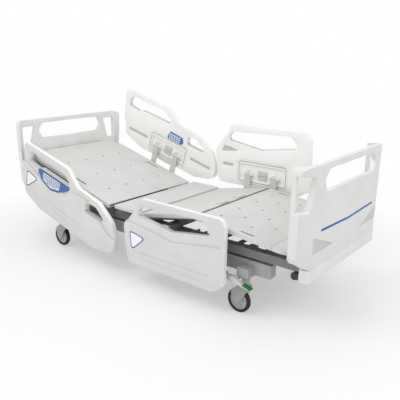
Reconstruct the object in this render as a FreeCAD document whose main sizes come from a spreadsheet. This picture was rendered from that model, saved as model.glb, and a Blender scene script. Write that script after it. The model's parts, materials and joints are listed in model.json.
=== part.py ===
# Electric hospital bed, an assembly of separate pieces. Millimetres.
# Frame: +X towards the foot end, -Y the patient's right, +Z up, origin on the floor under the middle.
# The bed stands as it is delivered for use: backrest and thigh section a little raised, the rails of
# the patient's right lowered, those of the left raised, and the lift at the bottom of its travel.
import FreeCAD, Part
import math
import os
import Sketcher
from FreeCAD import Placement, Rotation, Vector

doc = FreeCAD.newDocument("hospital_bed")
sheet = doc.addObject("Spreadsheet::Sheet", "sizes")

# Driving dimensions: one cell each, plain numbers in millimetres or degrees.
DIMENSIONS = {
    # overall
    "end_face": 1200,
    "side_face": 500,
    "deck_top": 460,
    # chassis
    "beam_half_length": 900,
    "beam_inner": 280,
    "beam_wide": 60,
    "beam_low": 245,
    "beam_tall": 80,
    "tube_wall": 5,
    "castor_beam_half": 402,
    "castor_beam_wide": 76,
    "castor_beam_low": 238,
    "castor_beam_tall": 56,
    "cap_long": 30,
    # castors
    "castor_foot": 785,
    "castor_head": 835,
    "castor_side": 361,
    "trail": 40,
    "tyre_radius": 75,
    "rim_radius": 58,
    "tyre_wide": 28,
    "rim_wide": 24,
    "axle_radius": 6,
    "stem_radius": 11,
    "socket_radius": 22,
    "fork_wide": 50,
    "fork_top": 180,
    "wheel_gap": 4,
    # brake
    "brake_pivot_x": 750,
    "brake_pivot_up": 220,
    "brake_shaft_radius": 7,
    "pedal_reach": 112,
    "pedal_wide": 26,
    "pedal_side": 408,
    "pedal_tilt": 16,
    "pad_long": 52,
    "pad_thick": 9,
    # lift
    "arm_long": 440,
    "arm_tilt": 10,
    "arm_foot_x": 344,
    "arm_head_x": -633,
    "arm_pivot_up": 285,
    "arm_side": 250,
    "arm_thick": 18,
    "arm_deep": 36,
    "lift_pin_radius": 10,
    "lever_low": 86,
    "lever_lean": 26,
    # platform frame
    "frame_side": 300,
    "frame_wide": 50,
    "frame_low": 345,
    "frame_tall": 50,
    "frame_half_length": 1110,
    # deck
    "deck_half": 415,
    "panel_thick": 25,
    "panel_skin": 7,
    "hinge_drop": 41,
    "hinge_radius": 8,
    "tube": 28,
    "back_hinge_x": -320,
    "back_angle": 15,
    "back_long": 898,
    "back_overhang": 30,
    "back_tube_side": 365,
    "seat_head_edge": -230,
    "thigh_hinge_x": 63,
    "thigh_long": 385,
    "thigh_angle": 11,
    "leg_angle": 6.4,
    "leg_long": 655,
    "leg_tube_side": 315,
    "thigh_overhang": 40,
    "seat_gap": 17,
    "knee_gap": 1.5,
    "seat": 0.3,
    # boards
    "board_low": 403,
    "headboard_top": 921,
    "footboard_top": 940,
    "footboard_half": 475,
    "board_thick": 28,
    # bumper
    "bumper_low": 334,
    "bumper_half": 437,
    # side rails
    "rail_thick": 45,
    "rail_travel": 355,
    "rail_pivot_side": 434,
    "rail_arm_wide": 45,
    "rail_arm_thick": 16,
    "rail_pin_radius": 5,
    "rail_knuckle": 12,
    "recess_deep": 12,
    # running clearances
    "running": 0.1,
    "play": 0.5,
}


class Size:
    """A length from the sheet, or one worked out from several, as a number and as an expression."""

    def __init__(self, number, text):
        self.number = float(number)
        self.text = text

    def __float__(self):
        return self.number

    def __neg__(self):
        return Size(-self.number, "(-%s)" % self.text)

    def __add__(self, other):
        other = as_size(other)
        return Size(self.number + other.number, "(%s + %s)" % (self.text, other.text))

    def __sub__(self, other):
        other = as_size(other)
        return Size(self.number - other.number, "(%s - %s)" % (self.text, other.text))

    def __mul__(self, other):
        other = as_size(other)
        return Size(self.number * other.number, "(%s * %s)" % (self.text, other.text))

    def __truediv__(self, other):
        other = as_size(other)
        return Size(self.number / other.number, "(%s / %s)" % (self.text, other.text))

    def __radd__(self, other):
        return as_size(other) + self

    def __rsub__(self, other):
        return as_size(other) - self

    def __rmul__(self, other):
        return as_size(other) * self


def as_size(value):
    """Any plain number as a Size."""
    if isinstance(value, Size):
        return value
    return Size(value, "(%.6f)" % value)


def fill_sheet():
    """Write the driving dimensions into the sheet, one aliased cell each, and return them as Sizes."""
    sizes = {}
    for row, (alias, number) in enumerate(DIMENSIONS.items(), start=1):
        sheet.set("A%d" % row, alias)
        sheet.set("B%d" % row, str(number))
        sheet.setAlias("B%d" % row, alias)
        sizes[alias] = Size(number, "sizes." + alias)
    doc.recompute()
    return sizes


class Named:
    """The sheet's sizes as attributes, so that a line of geometry reads as a sum of names."""

    def __init__(self, sizes):
        self.__dict__.update(sizes)


d = Named(fill_sheet())
PARTS = []
NEAR = -1
FAR = 1


# Helpers: bodies, sketches and features
def new_body(label):
    """One sub-part: a PartDesign body whose label names its file."""
    body = doc.addObject("PartDesign::Body", label)
    body.Label = label
    PARTS.append(body)
    return body


def origin_plane(body, role):
    """The body's own origin plane of that role."""
    for feature in body.Origin.OriginFeatures:
        if feature.Role == role:
            return feature
    raise ValueError(role)


def new_sketch(body, plane, offset=0):
    """An empty sketch on one of the body's planes, moved along the plane's normal."""
    sketch = body.newObject("Sketcher::SketchObject", "outline")
    sketch.AttachmentSupport = [(origin_plane(body, plane), "")]
    sketch.MapMode = "FlatFace"
    sketch.setExpression("AttachmentOffset.Base.z", as_size(offset).text)
    return sketch


def tie(sketch, constraints):
    """Add (constraint, size) pairs to the sketch in one go; each with a size follows the sheet."""
    first = sketch.ConstraintCount
    sketch.addConstraint([constraint for constraint, size in constraints])
    for step, (constraint, size) in enumerate(constraints):
        if size is not None:
            sketch.setExpression("Constraints[%d]" % (first + step), size.text)


def point_at(line, end, across, up):
    """Constraints that tie a point of the geometry to its two lengths."""
    return [(Sketcher.Constraint("DistanceX", -1, 1, line, end, float(across)), across),
            (Sketcher.Constraint("DistanceY", -1, 1, line, end, float(up)), up)]


STRAIGHT = math.radians(87)


def corner_arc(before, corner, after, radius):
    """Offsets from a corner to the two ends of its arc, and the radius that the sides leave room for."""
    back = before - corner
    ahead = after - corner
    half = back.getAngle(ahead) / 2
    if half > STRAIGHT:
        return Vector(), Vector(), Vector(), 0
    reach = min(radius / math.tan(half), back.Length * 0.45, ahead.Length * 0.45)
    fitted = reach * math.tan(half)
    back.normalize()
    ahead.normalize()
    middle = (back + ahead).normalize() * (fitted / math.sin(half) - fitted)
    return back * reach, middle, ahead * reach, fitted


def draw_loop(sketch, corners, radius=0):
    """A closed loop through the corners, each tied to the sheet, and rounded where a radius is given."""
    corners = [(as_size(across), as_size(up)) for across, up in corners]
    points = [Vector(float(across), float(up), 0) for across, up in corners]
    count = len(points)
    offsets = [(Vector(), Vector(), Vector(), 0)] * count
    if radius:
        offsets = [corner_arc(points[index - 1], points[index], points[(index + 1) % count], radius)
                   for index in range(count)]
    first = sketch.GeometryCount
    lines = [Part.LineSegment(points[index] + offsets[index][2],
                              points[(index + 1) % count] + offsets[(index + 1) % count][0])
             for index in range(count)]
    sketch.addGeometry(lines, False)
    ties = []
    for index in range(count):
        following = (index + 1) % count
        leaving = offsets[index][2]
        ties += point_at(first + index, 1, corners[index][0] + leaving.x, corners[index][1] + leaving.y)
        if not radius:
            ties.append((Sketcher.Constraint("Coincident", first + index, 2, first + following, 1), None))
            continue
        reaching = offsets[following][0]
        ties += point_at(first + index, 2, corners[following][0] + reaching.x, corners[following][1] + reaching.y)
    tie(sketch, ties)
    if radius:
        round_loop(sketch, first, points, offsets)


def round_loop(sketch, first, points, offsets):
    """Join the ends of the loop's lines by arcs."""
    count = len(points)
    ties = []
    for index in range(count):
        back, middle, ahead, fitted = offsets[index]
        if not fitted:
            continue
        corner = points[index]
        arc = sketch.addGeometry(Part.Arc(corner + back, corner + middle, corner + ahead), False)
        start, end = (1, 2) if (sketch.getPoint(arc, 1) - corner - back).Length < 1e-4 else (2, 1)
        ties.append((Sketcher.Constraint("Coincident", first + (index - 1) % count, 2, arc, start), None))
        ties.append((Sketcher.Constraint("Coincident", first + index, 1, arc, end), None))
        ties.append((Sketcher.Constraint("Radius", arc, fitted), as_size(fitted)))
    tie(sketch, ties)


def draw_circles(sketch, circles):
    """Circles tied to the sheet, each given as (across, up, radius)."""
    first = sketch.GeometryCount
    circles = [tuple(as_size(value) for value in circle) for circle in circles]
    rings = [Part.Circle(Vector(float(across), float(up), 0), Vector(0, 0, 1), float(radius))
             for across, up, radius in circles]
    sketch.addGeometry(rings, False)
    ties = []
    for number, (across, up, radius) in enumerate(circles, start=first):
        ties += point_at(number, 3, across, up)
        ties.append((Sketcher.Constraint("Radius", number, float(radius)), radius))
    tie(sketch, ties)


def add_feature(body, kind, sketch, length, backwards=False, middle=False):
    """A pad or pocket of the sketch."""
    feature = body.newObject("PartDesign::" + kind, kind.lower())
    feature.Profile = sketch
    feature.setExpression("Length", as_size(length).text)
    feature.Reversed = backwards
    feature.Midplane = middle
    body.Tip = feature
    sketch.Visibility = False
    return feature


def pad(body, plane, loops, length, offset=0, backwards=False, middle=False, radius=0):
    """Pad one or more loops drawn on a plane."""
    sketch = new_sketch(body, plane, offset)
    for loop in loops:
        draw_loop(sketch, loop, radius)
    return add_feature(body, "Pad", sketch, length, backwards, middle)


def pocket(body, plane, loops, length, offset=0, backwards=False, middle=False, radius=0):
    """Cut one or more loops drawn on a plane."""
    sketch = new_sketch(body, plane, offset)
    for loop in loops:
        draw_loop(sketch, loop, radius)
    return add_feature(body, "Pocket", sketch, length, backwards, middle)


def round_pad(body, plane, circles, length, offset=0, backwards=False, middle=False):
    """Pad circles, each given as (across, up, radius)."""
    sketch = new_sketch(body, plane, offset)
    draw_circles(sketch, circles)
    return add_feature(body, "Pad", sketch, length, backwards, middle)


def bore(body, plane, circles, length, offset=0, backwards=False, middle=False):
    """Cut circles, each given as (across, up, radius)."""
    sketch = new_sketch(body, plane, offset)
    draw_circles(sketch, circles)
    return add_feature(body, "Pocket", sketch, length, backwards, middle)


def straight_edges(shape, direction, spots, reach=1.5):
    """Names of the straight edges along a direction that pass one of the spots, seen along it."""
    along = Vector(*direction)
    names = []
    for number, edge in enumerate(shape.Edges, start=1):
        if not isinstance(edge.Curve, Part.Line):
            continue
        ends = [vertex.Point for vertex in edge.Vertexes]
        run = ends[1] - ends[0]
        if run.Length < 0.01 or abs(abs(run.normalize() * along) - 1) > 1e-4:
            continue
        flat = ends[0] - along * (ends[0] * along)
        for spot in spots:
            spot = Vector(*spot)
            spot = spot - along * (spot * along)
            if (flat - spot).Length < reach:
                names.append("Edge%d" % number)
                break
    return names


def round_edges(body, names, radius):
    """Fillet named edges of the body's tip, where there are any."""
    if not names:
        raise ValueError("no edge to round on " + body.Label)
    tip = body.Tip
    fillet = body.newObject("PartDesign::Fillet", "fillet")
    fillet.Base = (tip, names)
    fillet.setExpression("Radius", as_size(radius).text)
    body.Tip = fillet
    doc.recompute()
    return fillet


def round_corners(body, direction, spots, radius):
    """Round the corner edges that run along a direction through the spots."""
    doc.recompute()
    spots = [tuple(float(value) for value in spot) for spot in spots]
    names = straight_edges(body.Tip.Shape, direction, spots)
    return round_edges(body, names, radius)


def rectangle(low_across, low_up, high_across, high_up):
    """The four corners of an upright rectangle."""
    return [(low_across, low_up), (high_across, low_up), (high_across, high_up), (low_across, high_up)]


def mirrored(points):
    """A half outline, drawn from the middle outwards on the + side, closed by its mirror image."""
    other = [(-as_size(across), up) for across, up in reversed(points)]
    return points + [point for point in other if abs(float(point[0])) > 1e-6]


def turn_about_y(angle, across, up):
    """Placement of a piece modelled flat about its hinge, turned there by the angle in degrees."""
    return Placement(Vector(float(across), 0, float(up)), Rotation(Vector(0, 1, 0), float(angle)))


def group(label, shapes):
    """Several identical solids as one sub-part."""
    item = doc.addObject("Part::Feature", label)
    item.Label = label
    item.Shape = Part.makeCompound(shapes)
    PARTS.append(item)
    return item


# Chassis: two long beams, a cross beam at each pair of castors, and the pins that the lift arms turn on
beam_top = d.beam_low + d.beam_tall
beam_outer = d.beam_inner + d.beam_wide
castor_beam_top = d.castor_beam_low + d.castor_beam_tall
socket_top = d.castor_beam_low


def chassis_frame():
    """Rectangular tube weldment, open inside, with sockets for the castors."""
    body = new_body("chassis_frame")
    tubes = []
    for side in (NEAR, FAR):
        low = side * d.beam_inner if side > 0 else -beam_outer
        high = beam_outer if side > 0 else -d.beam_inner
        tubes.append(rectangle(low, d.beam_low, high, beam_top))
    pad(body, "YZ_Plane", tubes, 2 * d.beam_half_length, middle=True)
    hollow = []
    for side in (NEAR, FAR):
        low = (d.beam_inner if side > 0 else -beam_outer) + d.tube_wall
        high = (beam_outer if side > 0 else -d.beam_inner) - d.tube_wall
        hollow.append(rectangle(low, d.beam_low + d.tube_wall, high, beam_top - d.tube_wall))
    pocket(body, "YZ_Plane", hollow, 2 * d.beam_half_length + 2, middle=True)
    half = d.castor_beam_wide / 2
    crosses = []
    for middle in (d.castor_foot, -d.castor_head):
        crosses.append(rectangle(middle - half, d.castor_beam_low, middle + half, castor_beam_top))
    pad(body, "XZ_Plane", crosses, 2 * d.castor_beam_half, middle=True)
    inside = []
    for middle in (d.castor_foot, -d.castor_head):
        inside.append(rectangle(middle - half + d.tube_wall, d.castor_beam_low + d.tube_wall,
                                middle + half - d.tube_wall, castor_beam_top - d.tube_wall))
    pocket(body, "XZ_Plane", inside, 2 * (d.castor_beam_half - d.tube_wall), middle=True)
    # the tube across the middle carries the head lift motor
    low = motor_head_clevis_x - 20
    pad(body, "XZ_Plane", [rectangle(low, d.beam_low, low + 40, d.beam_low + 40)], 2 * beam_outer, middle=True)
    # pins for the lift arms, with a collar that keeps each arm off its beam
    pins = [(d.arm_foot_x, d.arm_pivot_up), (d.arm_head_x, d.arm_pivot_up)]
    for side in (NEAR, FAR):
        back = side > 0
        collars = [(across, up, d.lift_pin_radius + 8) for across, up in pins]
        round_pad(body, "XZ_Plane", collars, d.beam_inner - arm_outer - d.play + 2,
                  offset=-side * (arm_outer + d.play), backwards=back)
        stubs = [(across, up, d.lift_pin_radius) for across, up in pins]
        round_pad(body, "XZ_Plane", stubs, d.beam_inner - d.arm_side + 6,
                  offset=-side * (d.arm_side - 4), backwards=back)
    # castor sockets under the ends of the cross beams
    spots = []
    for along in (d.castor_foot, -d.castor_head):
        for side in (NEAR, FAR):
            spots.append((along, side * d.castor_side, d.socket_radius))
    round_pad(body, "XY_Plane", spots, socket_top - d.fork_top - d.play + 2, offset=d.fork_top + d.play)
    holes = [(along, across, d.stem_radius + d.running) for along, across, radius in spots]
    bore(body, "XY_Plane", holes, stem_long + 3, offset=d.fork_top, backwards=True)
    # hangers of the brake shaft, and the ears that hold the two lift motors
    for side in (NEAR, FAR):
        half = d.brake_shaft_radius + 9
        hanger = rectangle(d.brake_pivot_x - half, d.brake_pivot_up - half, d.brake_pivot_x + half,
                           d.castor_beam_low + 2)
        pad(body, "XZ_Plane", [hanger], 8, offset=-side * (d.beam_inner + 20), middle=True)
    for clevis_x, top in ((motor_head_clevis_x, d.beam_low), (motor_foot_clevis_x, d.castor_beam_low)):
        for side in (NEAR, FAR):
            ear = rectangle(clevis_x - 14, motor_up - 14, clevis_x + 14, top + 2)
            pad(body, "XZ_Plane", [ear], 6, offset=-side * (motor_eye_half + 4), middle=True)
    ears = [(motor_head_clevis_x, motor_up, motor_pin_radius), (motor_foot_clevis_x, motor_up, motor_pin_radius)]
    bore(body, "XZ_Plane", [(across, up, radius + d.running) for across, up, radius in ears],
         2 * motor_eye_half + 20, middle=True)
    bore(body, "XZ_Plane", [(d.brake_pivot_x, d.brake_pivot_up, d.brake_shaft_radius + d.running)],
         2 * d.castor_beam_half, middle=True)
    return body


def chassis_caps():
    """Plastic plugs that close the four ends of the long beams."""
    shapes = []
    for end in (-1, 1):
        for side in (NEAR, FAR):
            low_y = float(side * (d.beam_inner + d.beam_wide / 2) - d.beam_wide / 2)
            start = float(end * d.beam_half_length)
            face = start + (0 if end > 0 else -float(d.cap_long))
            cap = Part.makeBox(float(d.cap_long), float(d.beam_wide), float(d.beam_tall),
                               Vector(face, low_y, float(d.beam_low)))
            outer = start + end * float(d.cap_long)
            edges = [edge for edge in cap.Edges if all(abs(v.X - outer) < 0.01 for v in edge.Vertexes)]
            cap = cap.makeFillet(8, edges)
            shapes.append(cap)
    return group("chassis_caps", shapes)


# Lift: two arms of one length, so that the deck stays level, each pushed round by a motor's rod
arm_outer = d.arm_side + d.arm_thick
arm_rise = math.sin(math.radians(float(d.arm_tilt)))
arm_run = math.cos(math.radians(float(d.arm_tilt)))
deck_pivot_up = float(d.arm_pivot_up) + float(d.arm_long) * arm_rise
deck_pivot_dx = float(d.arm_long) * arm_run
motor_up = d.arm_pivot_up - d.lever_low
motor_pin_radius = as_size(6)
rod_radius = as_size(10)
rod_pin_radius = as_size(7)
motor_eye_half = as_size(14)
lever_reach = float(d.lever_low) * math.tan(math.radians(float(d.lever_lean)))
lift_stroke = 2 * lever_reach
motor_head_clevis_x = d.arm_head_x + 400
motor_foot_clevis_x = d.arm_foot_x + 400
stem_long = as_size(34)


def slotted_lever(body, root, lean, height, swing, middle_y):
    """Two lever plates with a slot for the rod's pin, which runs level while the lever swings.

    The lever starts at the root, leans back by the lean from square to its frame and swings as far
    to either side of upright as the swing. The slot's ends leave room for the pin over that swing.
    """
    lean = math.radians(lean)
    reach = height / math.cos(math.radians(swing))
    axis = Vector(-math.sin(lean), -math.cos(lean), 0)
    square = Vector(-axis.y, axis.x, 0)
    half = 20
    slot_half = float(rod_pin_radius) + 2.2
    end = axis * (reach + slot_half + 8)
    start = Vector(root, 0, 0)
    outline = [start + square * 12, end + square * half, end - square * half, start - square * 12]
    near_end = axis * (height - slot_half - 0.8)
    far_end = axis * (reach + slot_half + 0.8)
    slot = [near_end + square * slot_half, far_end + square * slot_half,
            far_end - square * slot_half, near_end - square * slot_half]
    for side in (NEAR, FAR):
        pad(body, "XZ_Plane", [[(spot.x, spot.y) for spot in outline]], 8,
            offset=-(middle_y + side * (rod_radius + 8)), middle=True)
    pocket(body, "XZ_Plane", [[(spot.x, spot.y) for spot in slot]], 2 * rod_radius + 40,
           offset=-middle_y, middle=True)


def lift_arm(label, pivot_x, deck_play):
    """Two side plates on a cross tube, with the slotted lever that the rod's pin pushes."""
    body = new_body(label)
    half = d.arm_deep / 2
    plate = [(-half, -half * 0.6), (half * 0.4, -half), (d.arm_long, -half * 0.9), (d.arm_long + half, 0),
             (d.arm_long, half * 0.9), (half * 0.4, half), (-half, half * 0.6)]
    for side in (NEAR, FAR):
        pad(body, "XZ_Plane", [plate], d.arm_thick, offset=-side * d.arm_side, backwards=side > 0, radius=14)
    tube_radius = half - 3
    round_pad(body, "XZ_Plane", [(0, 0, tube_radius)], 2 * d.arm_side + 2, middle=True)
    round_pad(body, "XZ_Plane", [(d.arm_long * 0.6, 0, half * 0.7)], 2 * d.arm_side + 2, middle=True)
    slotted_lever(body, 0, float(d.lever_lean) + float(d.arm_tilt), float(d.lever_low), float(d.lever_lean), 0)
    bores = [(0, 0, d.lift_pin_radius + d.running), (d.arm_long, 0, d.lift_pin_radius + deck_play)]
    bore(body, "XZ_Plane", bores, 2 * arm_outer + 4, middle=True)
    body.Placement = turn_about_y(-float(d.arm_tilt), pivot_x, d.arm_pivot_up)
    return body


def long_edges(shape, long):
    """The straight edges of a box that have this length."""
    return [edge for edge in shape.Edges if abs(edge.Length - float(long)) < 0.1]


def motor(clevis, direction, across, up, housing_long, tube_long, pin_radius):
    """Linear motor: eye, gear housing with its motor on the side, and the outer tube of the rod."""
    start = float(clevis)
    up = float(up)
    across = float(across)
    eye = Part.makeBox(34, 2 * float(motor_eye_half), 24, Vector(-12, -float(motor_eye_half), -12))
    eye = eye.makeFillet(11.9, [e for e in eye.Edges if abs(e.CenterOfMass.x + 12) < 0.1 and
                                abs(e.Vertexes[0].Y - e.Vertexes[1].Y) > 1])
    housing = Part.makeBox(housing_long, 62, 66, Vector(20, -31, -33))
    housing = housing.makeChamfer(9, long_edges(housing, housing_long))
    drive = Part.makeCylinder(26, 118, Vector(20 + housing_long * 0.5, -20, 6), Vector(0, -1, 0))
    drive = drive.makeChamfer(4, [e for e in drive.Edges if abs(e.CenterOfMass.y + 138) < 0.1])
    sleeve = Part.makeCylinder(19, tube_long, Vector(18 + housing_long, 0, 0), Vector(1, 0, 0))
    body = eye.fuse([housing, drive, sleeve]).removeSplitter()
    pin_half = float(motor_eye_half) + 12
    pin = Part.makeCylinder(float(pin_radius), 2 * pin_half, Vector(0, -pin_half, 0), Vector(0, 1, 0))
    body = body.fuse(pin)
    guide = Part.makeCylinder(float(rod_radius) + float(d.play), tube_long + 1,
                              Vector(19 + housing_long, 0, 0), Vector(1, 0, 0))
    body = body.cut(guide)
    if direction < 0:
        body.rotate(Vector(0, 0, 0), Vector(0, 0, 1), 180)
    body.translate(Vector(start, across, up))
    return body


def rod(tip, tail, across, up, pin_radius, pin_half):
    """Push rod with the cross pin at its tip."""
    long = abs(float(tail) - float(tip))
    away = 1 if float(tail) > float(tip) else -1
    shaft = Part.makeCylinder(float(rod_radius), long, Vector(float(tip), float(across), float(up)),
                              Vector(away, 0, 0))
    eye = Part.makeCylinder(float(rod_radius) + 1, 2 * 11,
                            Vector(float(tip), float(across) - 11, float(up)), Vector(0, 1, 0))
    pin = Part.makeCylinder(float(pin_radius), 2 * float(pin_half),
                            Vector(float(tip), float(across) - float(pin_half), float(up)), Vector(0, 1, 0))
    return shaft.fuse([eye, pin]).removeSplitter()


def lift_motors():
    """The two lift motors, alike, each hung from the chassis by its eye."""
    shapes = []
    for clevis in (motor_head_clevis_x, motor_foot_clevis_x):
        shapes.append(motor(clevis, -1, 0, motor_up, 130, 120, motor_pin_radius))
    return group("lift_motors", shapes)


def lift_rods():
    """The rods of the two lift motors, which run out and in together."""
    shapes = []
    for pivot in (d.arm_head_x, d.arm_foot_x):
        tip = float(pivot) - lever_reach
        shapes.append(rod(tip, tip + 205, 0, motor_up, rod_pin_radius, rod_radius + 14))
    return group("lift_rods", shapes)


# Platform frame: what the arms lift. It carries the deck sections, the boards and the foot-side rails
frame_top = d.frame_low + d.frame_tall
frame_outer = d.frame_side + d.frame_wide
hinge_up = d.deck_top - d.hinge_drop
panel_low = d.hinge_drop - d.panel_thick
deck_underside = d.deck_top - d.panel_skin
seat_foot_edge = d.thigh_hinge_x - d.thigh_overhang - d.seat_gap
bumper_top = d.board_low - d.seat
end_wall = as_size(6)
foot_arm_x = (247, 463)
CROSS_MEMBERS = (-560, 150, 500, 900)


def platform_frame():
    """Square tube frame, with the lift pivots under it and the brackets of the foot-side rails."""
    body = new_body("platform_frame")
    members = []
    for side in (NEAR, FAR):
        low = d.frame_side if side > 0 else -frame_outer
        high = frame_outer if side > 0 else -d.frame_side
        members.append(rectangle(low, d.frame_low, high, frame_top))
    pad(body, "YZ_Plane", members, 2 * d.frame_half_length, middle=True)
    crosses = [rectangle(at - 20, d.frame_low, at + 20, d.frame_low + 40) for at in CROSS_MEMBERS]
    pad(body, "XZ_Plane", crosses, 2 * d.frame_side + 2, middle=True)
    # the tubes are hollow, and the cross members open into the side members
    wall = d.tube_wall
    hollow = []
    for side in (NEAR, FAR):
        low = (d.frame_side if side > 0 else -frame_outer) + wall
        high = (frame_outer if side > 0 else -d.frame_side) - wall
        hollow.append(rectangle(low, d.frame_low + wall, high, frame_top - wall))
    pocket(body, "YZ_Plane", hollow, 2 * d.frame_half_length + 2, middle=True)
    inside = [rectangle(at - 20 + wall, d.frame_low + wall, at + 20 - wall, d.frame_low + 40 - wall)
              for at in CROSS_MEMBERS]
    pocket(body, "XZ_Plane", inside, 2 * d.frame_side + 2 * wall, middle=True)
    # ears for the upper ends of the lift arms, outside the arms' plates
    for pivot_x in (d.arm_foot_x, d.arm_head_x):
        at = float(pivot_x) + deck_pivot_dx
        ear = [(at - 24, d.frame_low + 4), (at - 16, deck_pivot_up - 16), (at + 16, deck_pivot_up - 16),
               (at + 24, d.frame_low + 4), (at + 24, frame_top), (at - 24, frame_top)]
        for side in (NEAR, FAR):
            pad(body, "XZ_Plane", [ear], d.frame_side - arm_outer - 2 * d.play + 2,
                offset=-side * (arm_outer + 2 * d.play), backwards=side > 0)
            round_pad(body, "XZ_Plane", [(at, deck_pivot_up, d.lift_pin_radius)], d.frame_side - d.arm_side + 4,
                      offset=-side * (d.arm_side - 3), backwards=side > 0)
    # posts that carry the seat panel
    posts = [(d.seat_head_edge + 36, d.seat_head_edge + 66), (seat_foot_edge - 68, seat_foot_edge - 38)]
    for side in (NEAR, FAR):
        seat_posts = [rectangle(low, frame_top - 2, high, deck_underside) for low, high in posts]
        pad(body, "XZ_Plane", seat_posts, 24, offset=-side * (d.frame_side + 13), middle=True)
    bar = rectangle(posts[0][0], frame_top + 2, posts[0][1], frame_top + 32)
    pad(body, "XZ_Plane", [bar], 2 * d.frame_side + 4, middle=True)
    # ears of the thigh hinge
    ear = [(d.thigh_hinge_x - 34, frame_top - 2), (d.thigh_hinge_x - 12, hinge_up + 11),
           (d.thigh_hinge_x + 10, hinge_up + 11), (d.thigh_hinge_x + 14, frame_top - 2)]
    for side in (NEAR, FAR):
        pad(body, "XZ_Plane", [ear], 12, offset=-side * (d.frame_side + 6), middle=True)
    for side in (NEAR, FAR):
        round_pad(body, "XZ_Plane", [(d.thigh_hinge_x, hinge_up, d.hinge_radius)],
                  d.leg_tube_side + d.tube - d.frame_side + 2, offset=-side * d.frame_side, backwards=side > 0)
    # clevises of the foot-side rails
    rail_clevises(body, foot_arm_x, hinge_up, frame_outer - 2, 40)
    # gussets and posts at the ends that hold the boards
    for end, reach in ((-1, d.end_face - 62), (1, d.end_face - 60)):
        low = end * reach if end < 0 else d.frame_half_length - 60
        high = -(d.frame_half_length - 60) if end < 0 else reach
        ends = rectangle(low, d.frame_low, high, bumper_top)
        pad(body, "XZ_Plane", [ends], 2 * frame_outer, middle=True)
        # the ends are boxes, open underneath
        room = rectangle(low + end_wall, -frame_outer + end_wall, high - end_wall, frame_outer - end_wall)
        pocket(body, "XY_Plane", [room], bumper_top - d.frame_low - end_wall, offset=d.frame_low, backwards=True)
    holes = []
    for end in (-1, 1):
        for side in (NEAR, FAR):
            holes.append((end * peg_x(end), side * peg_side, peg_radius + d.play))
    bore(body, "XY_Plane", holes, d.frame_tall + 20, offset=frame_top + 10)
    for clevis in DECK_MOTOR_CLEVISES:
        for side in (NEAR, FAR):
            middle_y = clevis[1] + side * (float(motor_eye_half) + 4)
            ear = rectangle(clevis[0] - 14, clevis[2] - 14, clevis[0] + 16, clevis[3])
            pad(body, "XZ_Plane", [ear], 6, offset=-middle_y, middle=True)
        hole = [(clevis[0], clevis[2], motor_pin_radius)]
        bore(body, "XZ_Plane", hole, 2 * motor_eye_half + 20, offset=-clevis[1], middle=True)
    return body


def rail_clevises(body, places, level, root, drop):
    """Pairs of ears that each rail arm turns between, on both sides, and their pins."""
    half = d.rail_arm_wide / 2
    tip = d.rail_pivot_side
    for side in (NEAR, FAR):
        ear = [(side * root, level - drop), (side * (tip - 4), level - 11), (side * (tip + 8), level - 6),
               (side * (tip + 8), level + 6), (side * (tip - 4), level + 11), (side * root, level + 11)]
        for at in places:
            for edge in (-1, 1):
                pad(body, "YZ_Plane", [ear], 8, offset=at + edge * (half + 5), middle=True)
            round_pad(body, "YZ_Plane", [(side * tip, level, d.rail_pin_radius)],
                      d.rail_arm_wide + 12, offset=at, middle=True)


# Deck: four panels on three hinged frames
def deck_panel(label, low_x, high_x, rounded, radius, slots, holes):
    """Moulded tray: flat top with a rim under it, strap slots and vent holes. Modelled flat."""
    body = new_body(label)
    pad(body, "XY_Plane", [rectangle(low_x, -d.deck_half, high_x, d.deck_half)], d.panel_thick, offset=panel_low)
    if rounded:
        spots = [(rounded, side * d.deck_half, 0) for side in (NEAR, FAR)]
        round_corners(body, (0, 0, 1), spots, radius)
    inset = rectangle(low_x + 34, -d.deck_half + 34, high_x - 34, d.deck_half - 34)
    if holes:
        ribs = []
        span = (2 * d.deck_half - 68 - 12) / 2
        ribs.append(rectangle(low_x + 34, -d.deck_half + 34, high_x - 34, -d.deck_half + 34 + span))
        ribs.append(rectangle(low_x + 34, d.deck_half - 34 - span, high_x - 34, d.deck_half - 34))
        pocket(body, "XY_Plane", ribs, d.panel_thick - d.panel_skin, offset=panel_low, backwards=True)
    else:
        pocket(body, "XY_Plane", [inset], d.panel_thick - d.panel_skin, offset=panel_low, backwards=True)
    cuts = []
    for at, across, long in slots:
        for side in (NEAR, FAR):
            cuts.append(rectangle(at - long / 2, side * across - 5, at + long / 2, side * across + 5))
    if cuts:
        pocket(body, "XY_Plane", cuts, d.panel_thick + 2, offset=d.hinge_drop + 1)
    if holes:
        bore(body, "XY_Plane", [(at, across, 4.5) for at, across in holes], d.panel_thick, offset=d.hinge_drop + 1)
    return body


def vent_holes(rows, columns):
    """Vent holes in rows across the panel, alternate rows shifted by half a step."""
    spots = []
    for row, at in enumerate(rows):
        shift = 0 if row % 2 == 0 else columns[1] / 2
        for step in range(columns[0]):
            across = (step - (columns[0] - 1) / 2) * columns[1] + shift
            if abs(across) < float(d.deck_half) - 60:
                spots.append((at, across))
    return spots


def seat_panel():
    """The fixed part of the deck."""
    body = deck_panel("seat_panel", d.seat_head_edge, seat_foot_edge, 0, 0, [], [])
    body.Placement = Placement(Vector(0, 0, float(hinge_up)), Rotation())
    return body


back_panel_foot = d.back_overhang
back_panel_head = -(d.back_long - d.back_overhang)
back_arm_x = (-173, -384)


def backrest_panel():
    """Backrest deck panel, round at its two head corners."""
    rows = [-(150 + 230 * step) for step in range(3)]
    body = deck_panel("backrest_panel", back_panel_head, back_panel_foot, back_panel_head, 130,
                      [(-330, 365, 120)], vent_holes(rows, (4, 170)))
    body.Placement = turn_about_y(d.back_angle, d.back_hinge_x, hinge_up)
    return body


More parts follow.
